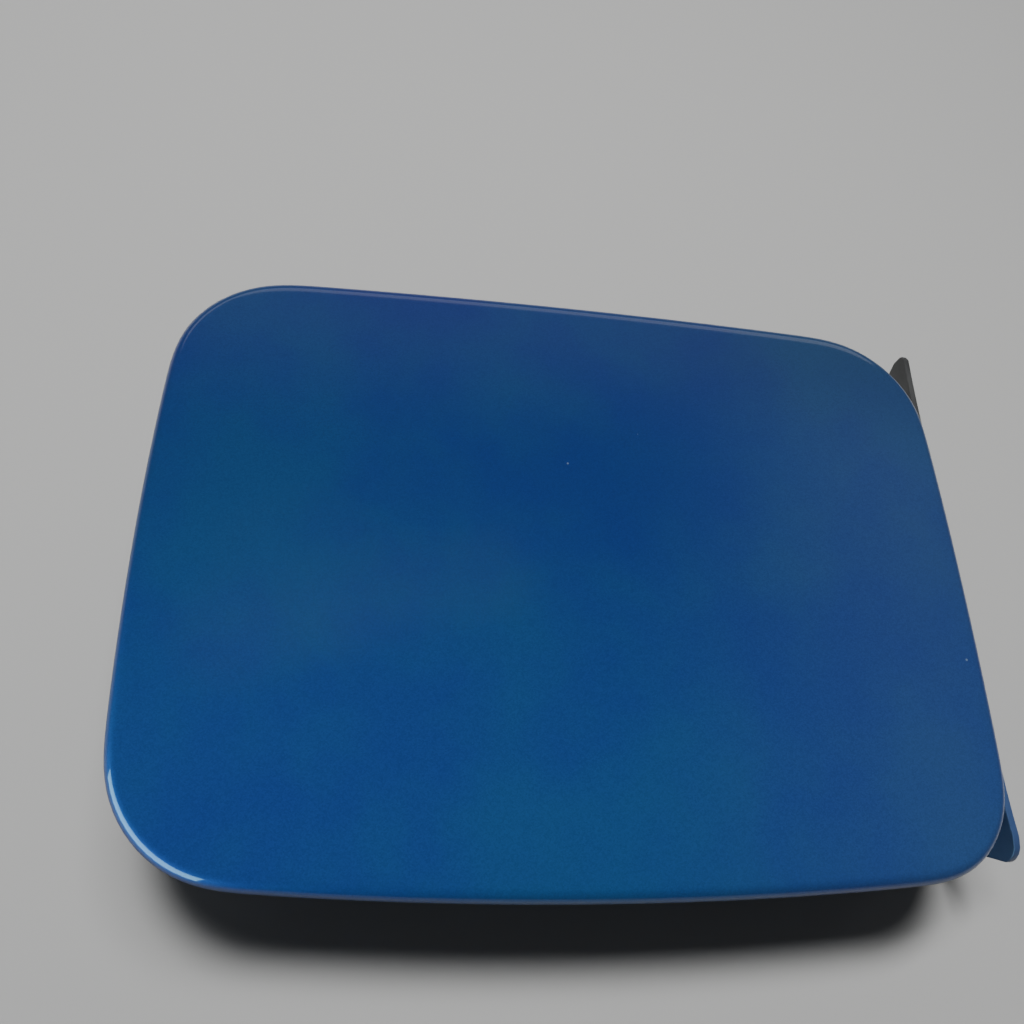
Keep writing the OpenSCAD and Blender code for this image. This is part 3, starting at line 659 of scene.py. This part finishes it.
turn = skin.data.attributes.new("edge_turn", "FLOAT", "POINT")
for vertex in skin.data.vertices:
    spot = vertex.co - DOOR_MIDDLE
    turn.data[vertex.index].value = max(0.0, min(1.0, (crown(spot.x, spot.y) - spot.z) / EDGE_H))
thicken(skin, SKIN_T, -1)
finish_mesh(skin)
skin.data.materials.append(paint)
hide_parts("outer_skin")
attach(skin, "door")
print("skin:", len(skin.data.polygons), "faces")

# %% [markdown]
# ## Finishes of the hidden side
# Under the skin, sheet parts are dipped in dark electrocoat, and the body colour reaches them only as
# overspray. The fasteners are zinc-plated, and the bearings are natural acetal. Every finish is mixed from
# the shared effects, so that only the colours and the scales change from one to the next.

# %% Helpers for the finishes
def grained(material, shader, colour, lumps, low, high, strength, depth):
    """Gives a finish its colour, its fine grain and its uneven gloss."""
    tree = material.node_tree
    tree.links.new(colour, shader.inputs["Base Color"])
    grain = use_group(tree, grain_group, object_vector(tree), Lumps_per_metre=lumps, Low=low, High=high)
    tree.links.new(grain.outputs["Roughness"], shader.inputs["Roughness"])
    bump(tree, shader, grain.outputs["Height"], strength, depth)
    return material


def clouded(material, deep, bright, lumps):
    """A finish's colour as a slow drift between two."""
    tree = material.node_tree
    return use_group(tree, clouds_group, object_vector(tree), Deep=deep, Bright=bright,
                     Lumps_per_metre=lumps).outputs["Color"]


# %% Mix the sheet parts' finishes
COAT_DEEP, COAT_BRIGHT = (0.012, 0.013, 0.015), (0.026, 0.027, 0.030)
MIST_DEEP, MIST_BRIGHT = (0.020, 0.040, 0.100), (0.035, 0.068, 0.150)
ARM_COAT = (0.026, 0.027, 0.028), (0.055, 0.056, 0.057)
ARM_MIST = (0.034, 0.064, 0.155), (0.050, 0.090, 0.205)
PALE_DUST = (0.2, 0.2, 0.19)


def electrocoat():
    """Dark dip coat on the hidden brackets."""
    material, shader = plain_material("electrocoat", COAT_DEEP, 0.45)
    colour = clouded(material, COAT_DEEP, COAT_BRIGHT, 60.0)
    return grained(material, shader, colour, 1400.0, 0.36, 0.55, 0.25, 0.00003)


def arm_finish(low_end):
    """Dip coat that the spray gun has reached at the arm's low end."""
    material, shader = plain_material("arm_finish", COAT_DEEP, 0.45)
    tree = material.node_tree
    coat, mist = clouded(material, *ARM_COAT, 60.0), clouded(material, *ARM_MIST, 40.0)
    mask = use_group(tree, overspray_group, object_vector(tree), Along=coordinate(tree, "Y"),
                     None_at=low_end + 42 * MM, Full_at=low_end + 12 * MM)
    colour = mix_node(tree, mask.outputs["Mask"], coat, mist)
    return grained(material, shader, colour, 1400.0, 0.34, 0.5, 0.25, 0.00003)


def inner_paint(pan_floor):
    """Dip coat with mist of the body colour, thick at the rim that stands nearest to the gun."""
    material, shader = plain_material("inner_paint", COAT_DEEP, 0.42)
    tree = material.node_tree
    coat = clouded(material, COAT_DEEP, COAT_BRIGHT, 45.0)
    mist = clouded(material, MIST_DEEP, MIST_BRIGHT, 30.0)
    mask = use_group(tree, overspray_group, object_vector(tree), Along=coordinate(tree, "Z"),
                     None_at=pan_floor - 8 * MM, Full_at=pan_floor + 3.5 * MM)
    colour = mix_node(tree, mask.outputs["Mask"], coat, mist)
    dust = use_group(tree, specks_group, object_vector(tree), Cells_per_metre=120.0, Size=0.03, Share=0.15)
    dusty = value_node(tree, "MULTIPLY", dust.outputs["Mask"], 0.5)
    colour = mix_node(tree, dusty, colour, PALE_DUST)
    return grained(material, shader, colour, 1100.0, 0.3, 0.5, 0.2, 0.00003)


# %% Mix the metal, plastic and rubber finishes
SPANGLES, MOULD_CLOUDS = 420.0, 90.0


def plated_steel(name, deep, bright, low, high):
    """Zinc plating or oiled wire: metal with a faint spangle."""
    material, shader = plain_material(name, bright, 0.4)
    colour = clouded(material, deep, bright, SPANGLES)
    shader.inputs["Metallic"].default_value = 0.9
    return grained(material, shader, colour, 2600.0, low, high, 0.2, 0.00001)


def moulded(name, deep, bright, low, high, lumps, strength, depth):
    """Moulded plastic, rubber or mastic, told apart by its grain."""
    material, shader = plain_material(name, deep, 0.6)
    colour = clouded(material, deep, bright, MOULD_CLOUDS)
    shader.inputs["Specular IOR Level"].default_value = 0.35
    return grained(material, shader, colour, lumps, low, high, strength, depth)


pan_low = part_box("inner_panel")[0]
finishes = {
    "electrocoat": electrocoat(),
    "arm_finish": arm_finish(arm_low.y),
    "inner_paint": inner_paint(pan_low.z),
    "zinc": plated_steel("zinc_plate", (0.40, 0.39, 0.34), (0.60, 0.59, 0.55), 0.28, 0.45),
    "spring_steel": plated_steel("spring_steel", (0.16, 0.16, 0.17), (0.30, 0.30, 0.31), 0.25, 0.4),
    "bearing_plastic": moulded(
        "acetal", (0.52, 0.50, 0.44), (0.62, 0.60, 0.54), 0.35, 0.5, 900.0, 0.1, 0.00002),
    "holder_plastic": moulded(
        "black_plastic", (0.012, 0.012, 0.013), (0.022, 0.022, 0.024), 0.45, 0.6, 2400.0, 0.5, 0.00004),
    "rubber": moulded(
        "black_rubber", (0.01, 0.01, 0.01), (0.02, 0.02, 0.02), 0.7, 0.9, 1600.0, 0.4, 0.00005),
    "mastic": moulded(
        "grey_mastic", (0.05, 0.05, 0.047), (0.09, 0.09, 0.083), 0.75, 0.95, 400.0, 0.8, 0.0003),
}
print("finishes:", sorted(finishes))

# %% [markdown]
# ## The inner panel
# The inner panel is pressed from one thin sheet: a flange that the skin's hem grips, a deep pan, and a
# raised field with holes. Its rings follow the skin's outline, so it starts as a circle primitive on the
# flange's edge and is extruded inwards ring by ring. The rings round each bend lie close together, which
# gives the soft bends of pressed sheet. The holes are cut with boolean modifiers once the sheet has its
# thickness.

# %% Helpers for rings that blend and holes that are cut
FIELD_X0, FIELD_X1, FIELD_Y0, FIELD_Y1 = -47.0 * MM, 40.0 * MM, -38.4 * MM, 36.4 * MM
FIELD_SLOPE, FIELD_SQUARENESS = 4.0 * MM, 8
FIELD_MIDDLE = Vector(((FIELD_X0 + FIELD_X1) / 2, (FIELD_Y0 + FIELD_Y1) / 2))
PANEL_T, SEAM, WALL_LEAN = 0.7 * MM, 0.1 * MM, 0.3 * MM
PAN_INSET, FLANGE_IN, FLANGE_OUT = 15 * MM, 10 * MM, 1.8 * MM
FLANGE_DROP = EDGE_H - SKIN_T - SEAM - PANEL_T
PAN_DROP, FIELD_RISE = 8 * MM - PANEL_T, 2.5 * MM


def level_ring(inset, height):
    """The outline, moved inwards, at one height below the crown's top."""
    return [Vector((p.x, p.y, DOOR_MIDDLE.z - height)) for p in ring(inset, 0)]


def field_ring(grow, height, scale=1.0):
    """A rounded rectangle below the crown's top, with as many points as the outline."""
    half_w, half_h = (FIELD_X1 - FIELD_X0) / 2 + grow, (FIELD_Y1 - FIELD_Y0) / 2 + grow
    reach = [max(abs(c) for c in side) - PAN_INSET for side in zip(*[(p.x, p.y) for p in outline])]
    points = []
    for p, out in zip(outline, outward):
        q = p - out * PAN_INSET
        q = Vector((q.x / reach[0], q.y / reach[1]))
        size = (abs(q.x) ** FIELD_SQUARENESS + abs(q.y) ** FIELD_SQUARENESS) ** (1 / FIELD_SQUARENESS)
        spot = FIELD_MIDDLE + Vector((q.x / size * half_w, q.y / size * half_h)) * scale
        points.append(DOOR_MIDDLE + Vector((spot.x, spot.y, -height)))
    return points


def between(first, last, share):
    """Rings part of the way from one to the next."""
    return [a.lerp(b, share) for a, b in zip(first, last)]


def eased(first, last, steps):
    """Rings from one to the next on an S-shaped wall: even in plan, eased in height."""
    rings = []
    for k in range(1, steps + 1):
        share = k / steps
        points = between(first, last, share)
        for point, a, b in zip(points, first, last):
            point.z = a.z + (b.z - a.z) * share * share * (3 - 2 * share)
        rings.append(points)
    return rings


def cut(piece, cutters):
    """Cuts the piece with each cutter in turn, and takes the cutters away."""
    for cutter in cutters:
        hole = piece.modifiers.new("cut", "BOOLEAN")
        hole.operation = "DIFFERENCE"
        hole.solver = "EXACT"
        hole.object = cutter
        apply_modifiers(piece)
        bpy.data.objects.remove(cutter, do_unlink=True)


def drill(x, y, z, radius, height, vertices=48):
    """A round cutter along Z."""
    deselect()
    bpy.ops.mesh.primitive_cylinder_add(vertices=vertices, radius=radius, depth=height, location=(x, y, z))
    bpy.ops.object.transform_apply()
    return bpy.context.object


# %% Model the inner panel
flange_edge = ring(FLANGE_OUT, FLANGE_DROP)
flange_root = ring(FLANGE_IN, FLANGE_DROP)
pan_edge = level_ring(PAN_INSET + WALL_LEAN, PAN_DROP)
field_foot = field_ring(FIELD_SLOPE, PAN_DROP)
field_top = field_ring(0, PAN_DROP - FIELD_RISE)
BEND_RINGS, FLOOR_RINGS, FIELD_RINGS = 8, 6, 12
panel_rings = [between(flange_edge, flange_root, 0.5), flange_root]
panel_rings += eased(flange_root, pan_edge, BEND_RINGS)
panel_rings += [between(pan_edge, field_foot, k / FLOOR_RINGS) for k in range(1, FLOOR_RINGS + 1)]
panel_rings += eased(field_foot, field_top, BEND_RINGS)
panel_rings += [field_ring(0, PAN_DROP - FIELD_RISE, 1 - k / FIELD_RINGS) for k in range(1, FIELD_RINGS)]
panel = grown_inwards("inner_sheet", flange_edge, panel_rings)
face_outwards()
bpy.ops.object.mode_set(mode="OBJECT")
if sum(f.normal.z * f.area for f in panel.data.polygons) < 0:
    bpy.ops.object.mode_set(mode="EDIT")
    bpy.ops.mesh.flip_normals()
    bpy.ops.object.mode_set(mode="OBJECT")
thicken(panel, PANEL_T, -1)
print("inner sheet:", len(panel.data.polygons), "faces")

# %% Cut its holes and turn their rims down
ACCESS_R, DRAIN_R, RIM_H, RIM_BEND = 13 * MM, 3.5 * MM, 1.6 * MM, 0.9 * MM
ACCESS_IN, DRAIN_IN_X, DRAIN_IN_Y = 5 * MM, 8 * MM, 10 * MM
CUTTER_H, RIM_LAP = 8 * MM, 0.8 * MM
field_z = pan_low.z + FIELD_RISE
access_in = ACCESS_IN + ACCESS_R
access_spots = [DOOR_MIDDLE.x + x for x in (FIELD_X0 + access_in, FIELD_X1 - access_in)]
drain_spots = [(DOOR_MIDDLE.x + x, DOOR_MIDDLE.y + y)
               for x in (FIELD_X0 + DRAIN_IN_X, FIELD_X1 - DRAIN_IN_X)
               for y in (FIELD_Y0 + DRAIN_IN_Y, FIELD_Y1 - DRAIN_IN_Y)]
cut(panel, [drill(x, DOOR_MIDDLE.y, field_z, ACCESS_R, CUTTER_H, 96) for x in access_spots]
    + [drill(x, y, field_z, DRAIN_R, CUTTER_H) for x, y in drain_spots])


def turned_rim(name, x, y):
    """A drawn rim round a hole: the sheet bends down in a quarter circle and ends in a short wall."""
    top = ACCESS_R + RIM_BEND
    wall = ACCESS_R + PANEL_T
    profile = [(top + RIM_LAP, PANEL_T), (top, PANEL_T)]
    profile += [(top - RIM_BEND * math.sin(a), PANEL_T - RIM_BEND * (1 - math.cos(a)))
                for a in angles(0, 90, 5)[1:]]
    profile += [(ACCESS_R, -RIM_H), (wall, -RIM_H), (wall, -0.3 * MM), (wall + 0.5 * MM, 0.0),
                (top + RIM_LAP, 0.0)]
    return spun(name, profile, Vector((x, y, field_z)))


def spun(name, profile, centre, steps=96):
    """A turned piece: a circle primitive laid on the closed profile, spun round a vertical axis."""
    piece = circle_piece(name, len(profile))
    for vertex, (radius, height) in zip(piece.data.vertices, profile):
        vertex.co = centre + Vector((radius, 0, height))
    edit_all()
    bpy.ops.mesh.spin(steps=steps, angle=math.radians(360), center=centre, axis=(0, 0, 1))
    bpy.ops.mesh.select_all(action="SELECT")
    bpy.ops.mesh.remove_doubles(threshold=0.001 * MM)
    face_outwards()
    bpy.ops.object.mode_set(mode="OBJECT")
    return piece


def joined(piece, others):
    """The others become part of the piece."""
    select_only(piece)
    for other in others:
        other.select_set(True)
    bpy.ops.object.join()
    return piece


def dress(piece, finish, node, body):
    """The piece's finish, the node that it stands for and the body that it rides on."""
    piece.data.materials.clear()
    piece.data.materials.append(finishes[finish])
    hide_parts(node)
    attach(piece, body)


joined(panel, [turned_rim("rim", x, DOOR_MIDDLE.y) for x in access_spots])
finish_mesh(panel, 35)
dress(panel, "inner_paint", "inner_panel", "door")
print("inner panel:", len(panel.data.polygons), "faces")

# %% [markdown]
# ## The hinge arm
# The arm is a strip of 1.5 mm steel, bent like a goose's neck so that it clears the edge of the body's
# opening, with pressed beads that stiffen the bend. Its two ends are all that shows from outside. It starts
# as a grid primitive, whose rows are laid along the bent profile and whose columns run along the hinge.
# That keeps the faces square where the beads rise, and lets the ends be cut back row by row. Solidify makes
# the sheet, and the slots are cut last.

# %% Describe the arm's profile
PIN = Vector((18.0, 0, 14.0)) * MM
NECK_R, ARM_T, LIP_H, FOLD_R = 9.0 * MM, 1.5 * MM, 13.5 * MM, 1.5 * MM
NECK_OUT, MID_R = NECK_R + ARM_T, NECK_R + ARM_T / 2
ARM_HALF, FOOT_HALF, FOOT_L, FOOT_TOP = 62.5 * MM, 42 * MM, 22 * MM, 16 * MM
BEAD_W, BEAD_EDGE, BEAD_YS = 7 * MM, 1.6 * MM, [y * MM for y in (-46.25, -12.0, 12.0, 46.25)]
BEAD_STOP, BEAD_RUNOUT = 2.2 * MM, 1.5 * MM
COPE_Z, COPE_LOW, COPE_HIGH = LIP_H * 0.7, 6 * MM, 12 * MM
LIP_R_LOW, LIP_R_HIGH = 5 * MM, 1.8 * MM
FOOT_ROWS, FOLD_ROWS, WALL_ROWS, NECK_ROWS, LIP_ROWS = 8, 8, 10, 36, 18
fold_x, fold_z, fold_r = -NECK_OUT - FOLD_R, FOOT_TOP - ARM_T - FOLD_R, FOLD_R + ARM_T / 2


def arm_path():
    """The sheet's middle line from the pin: x, z, outward x, outward z, how much of a bead it carries."""
    path = [(fold_x - FOOT_L + FOOT_L * k / FOOT_ROWS, FOOT_TOP - ARM_T / 2, 0.0, 1.0, 0.0)
            for k in range(FOOT_ROWS)]
    path += [(fold_x + fold_r * math.cos(a), fold_z + fold_r * math.sin(a), math.cos(a), math.sin(a), 0.0)
             for a in angles(90, 0, FOLD_ROWS)]
    path += [(-MID_R, fold_z * (1 - k / WALL_ROWS), -1.0, 0.0, min(1.0, k / 3)) for k in range(1, WALL_ROWS)]
    path += [(MID_R * math.cos(a), MID_R * math.sin(a), math.cos(a), math.sin(a), 1.0)
             for a in angles(180, 360, NECK_ROWS)]
    for z in (LIP_H * k / LIP_ROWS for k in range(1, LIP_ROWS + 1)):
        path.append((MID_R, z, 1.0, 0.0, max(0.0, min(1.0, (LIP_H - BEAD_STOP - z) / BEAD_RUNOUT))))
    return path


def end_reach(z, cope, corner):
    """How far an end reaches along the hinge: cut back below, rounded at the lip's corner."""
    if z < COPE_Z:
        return ARM_HALF - cope * (COPE_Z - z) / (COPE_Z + NECK_OUT + 2 * MM)
    over = z - (LIP_H - corner)
    if over <= 0:
        return ARM_HALF
    return ARM_HALF - corner + math.sqrt(max(0.0, corner * corner - over * over))


def bead_height(y):
    """The beads' soft-edged cross-section."""
    share = max((BEAD_W / 2 - abs(y - middle)) / BEAD_EDGE for middle in BEAD_YS)
    share = max(0.0, min(1.0, share))
    return BEAD_H * share * share * (3 - 2 * share)


# %% Lay a grid on the profile
ARM_COLUMNS, FLARE_FROM, FLARE_LOW, FLARE_HIGH = 180, 0.7, 0.9 * MM, 0.5 * MM


def lip_flare(y, z):
    """How far the lip's tips bend outwards."""
    tip = max(0.0, abs(y) / ARM_HALF - FLARE_FROM) / (1 - FLARE_FROM)
    return (FLARE_LOW if y < 0 else FLARE_HIGH) * tip * tip * max(0.0, z / LIP_H)


def round_sharp_edges(width, segments):
    """Turns the edited mesh's faces outwards, rounds its sharp edges and leaves edit mode."""
    face_outwards()
    bpy.ops.mesh.select_mode(type="EDGE")
    bpy.ops.mesh.select_all(action="DESELECT")
    bpy.ops.mesh.edges_select_sharp(sharpness=math.radians(50))
    bpy.ops.mesh.bevel(offset=width, segments=segments, profile=0.5, clamp_overlap=True)
    bpy.ops.object.mode_set(mode="OBJECT")


path = arm_path()
deselect()
bpy.ops.mesh.primitive_grid_add(x_subdivisions=ARM_COLUMNS, y_subdivisions=len(path) - 1, size=0.1)
arm = bpy.context.object
arm.name = arm.data.name = "gooseneck_arm"
for row, (x, z, out_x, out_z, bead) in enumerate(path):
    coped = x > 0 or z < COPE_Z
    high = end_reach(z, COPE_HIGH, LIP_R_HIGH) if coped else ARM_HALF
    low = end_reach(z, COPE_LOW, LIP_R_LOW) if coped else ARM_HALF
    for column in range(ARM_COLUMNS + 1):
        y = -low + (low + high) * column / ARM_COLUMNS
        lift = bead * bead_height(y)
        flare = lip_flare(y, z) if x > 0 else 0.0
        arm.data.vertices[row * (ARM_COLUMNS + 1) + column].co = (
            PIN.x + x + out_x * lift + flare, y, PIN.z + z + out_z * lift)
arm.data.update()
thicken(arm, ARM_T, 0)
bpy.ops.object.mode_set(mode="EDIT")
round_sharp_edges(0.35 * MM, 3)
print("arm's sheet:", len(arm.data.polygons), "faces")


# %% Cut its slots and holes, and join its ears
def block(low, high):
    """A cutter or plate between two corners."""
    deselect()
    middle = [(a + b) / 2 for a, b in zip(low, high)]
    bpy.ops.mesh.primitive_cube_add(size=1, location=middle)
    bpy.ops.transform.resize(value=[b - a for a, b in zip(low, high)], center_override=middle)
    bpy.ops.object.transform_apply()
    return bpy.context.object


def slot_cutter(x, y, z, half_w, half_l, radius, height):
    """A cutter with rounded corners along Z, such as a lightening hole's."""
    piece = block((x - half_w, y - half_l, z - height / 2), (x + half_w, y + half_l, z + height / 2))
    bpy.ops.object.mode_set(mode="EDIT")
    bpy.ops.mesh.select_mode(type="EDGE")
    bpy.ops.mesh.select_all(action="DESELECT")
    bpy.ops.object.mode_set(mode="OBJECT")
    for edge in piece.data.edges:
        a, b = (piece.data.vertices[v].co for v in edge.vertices)
        edge.select = abs(a.z - b.z) > height / 2
    bpy.ops.object.mode_set(mode="EDIT")
    bpy.ops.mesh.bevel(offset=radius, segments=8, profile=0.5)
    bpy.ops.object.mode_set(mode="OBJECT")
    return piece


EAR_Y, EAR_T, SLOT_GAP = 26 * MM, 2.5 * MM, 1.2 * MM
SLOT_X0, SLOT_Z1, CLEAR = PIN.x - 6.2 * MM, PIN.z + 5.4 * MM, 2 * MM
LEG_Y, LEG_HALF = 16.2 * MM, 2.6 * MM
NOTCH_X1, NOTCH_Z1 = PIN.x - 5.6 * MM, PIN.z + 11.6 * MM
FOOT_CUT_X1, FOOT_CUT_Z0 = PIN.x - NECK_R + 0.4 * MM, PIN.z + NECK_R + 1.5 * MM
HOLE_Y, HOLE_HALF_W, HOLE_HALF_L, HOLE_R, HOLE_CUT = 16.5 * MM, 4.5 * MM, 7 * MM, 4.4 * MM, 4 * MM
FLANGE_T, EAR_GAP, PIN_R, EAR_WALL = 1 * MM, 0.3 * MM, 2.5 * MM, 2.7 * MM
arm_ear_y = EAR_Y + EAR_T / 2 + FLANGE_T + EAR_GAP + ARM_T / 2
foot_middle = PIN + Vector((fold_x - FOOT_L / 2, 0, FOOT_TOP - ARM_T / 2))
below_neck = PIN.z - NECK_OUT - CLEAR
arm_cutters = []
for side in (-1, 1):
    ear_slot = [side * EAR_Y + end * (EAR_T / 2 + SLOT_GAP) for end in (-1, 1)]
    beside_foot = sorted((side * FOOT_HALF, side * (ARM_HALF + CLEAR)))
    arm_cutters += [
        block((SLOT_X0, ear_slot[0], below_neck), (PIN.x + NECK_OUT + CLEAR, ear_slot[1], SLOT_Z1)),
        block((PIN.x + fold_x - FOOT_L - CLEAR, beside_foot[0], FOOT_CUT_Z0),
              (FOOT_CUT_X1, beside_foot[1], PIN.z + FOOT_TOP + CLEAR)),
        slot_cutter(foot_middle.x, side * HOLE_Y, foot_middle.z, HOLE_HALF_W, HOLE_HALF_L, HOLE_R, HOLE_CUT)]
arm_cutters.append(block((PIN.x - NECK_OUT - CLEAR, LEG_Y - LEG_HALF, below_neck),
                         (NOTCH_X1, LEG_Y + LEG_HALF, NOTCH_Z1)))
cut(arm, arm_cutters)


def arm_ear(y):
    """A plate round the pin, drawn as a rounded tongue and extruded to the sheet's thickness."""
    outer = PIN_R + EAR_WALL
    shape = [(outer * math.cos(a), outer * math.sin(a)) for a in angles(90, -90, 24)]
    shape += [(-MID_R, -outer), (-MID_R, outer)]
    deselect()
    bpy.ops.mesh.primitive_circle_add(vertices=len(shape), radius=0.01, fill_type="NGON")
    ear = bpy.context.object
    for vertex, (x, z) in zip(ear.data.vertices, shape):
        vertex.co = (PIN.x + x, y - ARM_T / 2, PIN.z + z)
    edit_all()
    bpy.ops.mesh.extrude_region_move(TRANSFORM_OT_translate={"value": (0, ARM_T, 0)})
    round_sharp_edges(0.2 * MM, 2)
    return ear


joined(arm, [arm_ear(side * arm_ear_y) for side in (-1, 1)])
finish_mesh(arm, 35)
dress(arm, "arm_finish", "hinge_arm", "door")
print("arm:", len(arm.data.polygons), "faces")

# %% [markdown]
# ## The pieces that keep their CAD shape
# The brackets, rivets, bushes and rubber cushions have the right shape already, but their edges are
# perfectly sharp, which no real piece is. Each gets a copy of its CAD mesh: the loose triangles are merged,
# flat faces are dissolved into one, and a Bevel modifier rounds what is left of the edges by a few tenths
# of a millimetre.

# %% Round the edges of copies
MERGE_WITHIN, FLAT_WITHIN = 0.002 * MM, 0.6


def softened(node, name, width, segments=2, angle=38):
    """A copy of a CAD node's mesh with rounded edges."""
    piece = bpy.data.objects.new(name, nodes[node].data.copy())
    bpy.context.scene.collection.objects.link(piece)
    select_only(piece)
    edit_all()
    bpy.ops.mesh.remove_doubles(threshold=MERGE_WITHIN)
    bpy.ops.mesh.dissolve_limited(angle_limit=math.radians(FLAT_WITHIN))
    bpy.ops.object.mode_set(mode="OBJECT")
    edges = piece.modifiers.new("edges", "BEVEL")
    edges.width = width
    edges.segments = segments
    edges.limit_method = "ANGLE"
    edges.angle_limit = math.radians(angle)
    apply_modifiers(piece)
    finish_mesh(piece)
    return piece


# CAD node, piece's name, rounding in mm, finish, body
KEPT = [
    ("hinge_base", "screwed_base", 0.3, "electrocoat", "base"),
    ("hinge_doubler", "hinge_doubler_plate", 0.2, "electrocoat", "door"),
    ("striker_plate", "striker_mount_plate", 0.25, "electrocoat", "door"),
    ("striker_doubler", "striker_doubler_plate", 0.2, "electrocoat", "door"),
    ("cap_holder", "cap_bracket", 0.3, "holder_plastic", "door"),
    ("hinge_pin", "shouldered_pin", 0.2, "zinc", "door"),
    ("pin_clip", "spring_clip", 0.1, "spring_steel", "door"),
    ("bush_upper", "upper_bush", 0.15, "bearing_plastic", "base"),
    ("bush_lower", "lower_bush", 0.15, "bearing_plastic", "base"),
    ("spacer_tube", "spacer_sleeve", 0.2, "bearing_plastic", "base"),
    ("stop_pad", "rubber_stop", 0.2, "rubber", "base"),
    ("bumper_upper", "upper_cushion", 0.25, "rubber", "door"),
    ("bumper_lower", "lower_cushion", 0.25, "rubber", "door"),
    ("mastic_pads", "mastic_dabs", 0.5, "mastic", "door"),
    ("arm_rivets", "arm_rivet_set", 0.12, "zinc", "door"),
    ("striker_rivets", "striker_rivet_pair", 0.12, "zinc", "door"),
    ("holder_rivets", "holder_rivet_pair", 0.12, "zinc", "door"),
    ("striker_loop", "striker_bar", 0.15, "zinc", "door"),
]
for node, name, width, finish, body in KEPT:
    piece = softened(node, name, width * MM)
    dress(piece, finish, node, body)
    print(f"{name}: {len(piece.data.polygons)} faces")

spring = softened("hinge_spring", "torsion_spring", 0.05 * MM, 1, 75)
finish_mesh(spring, 60)
dress(spring, "spring_steel", "hinge_spring", "base")
print("spring:", len(spring.data.polygons), "faces")
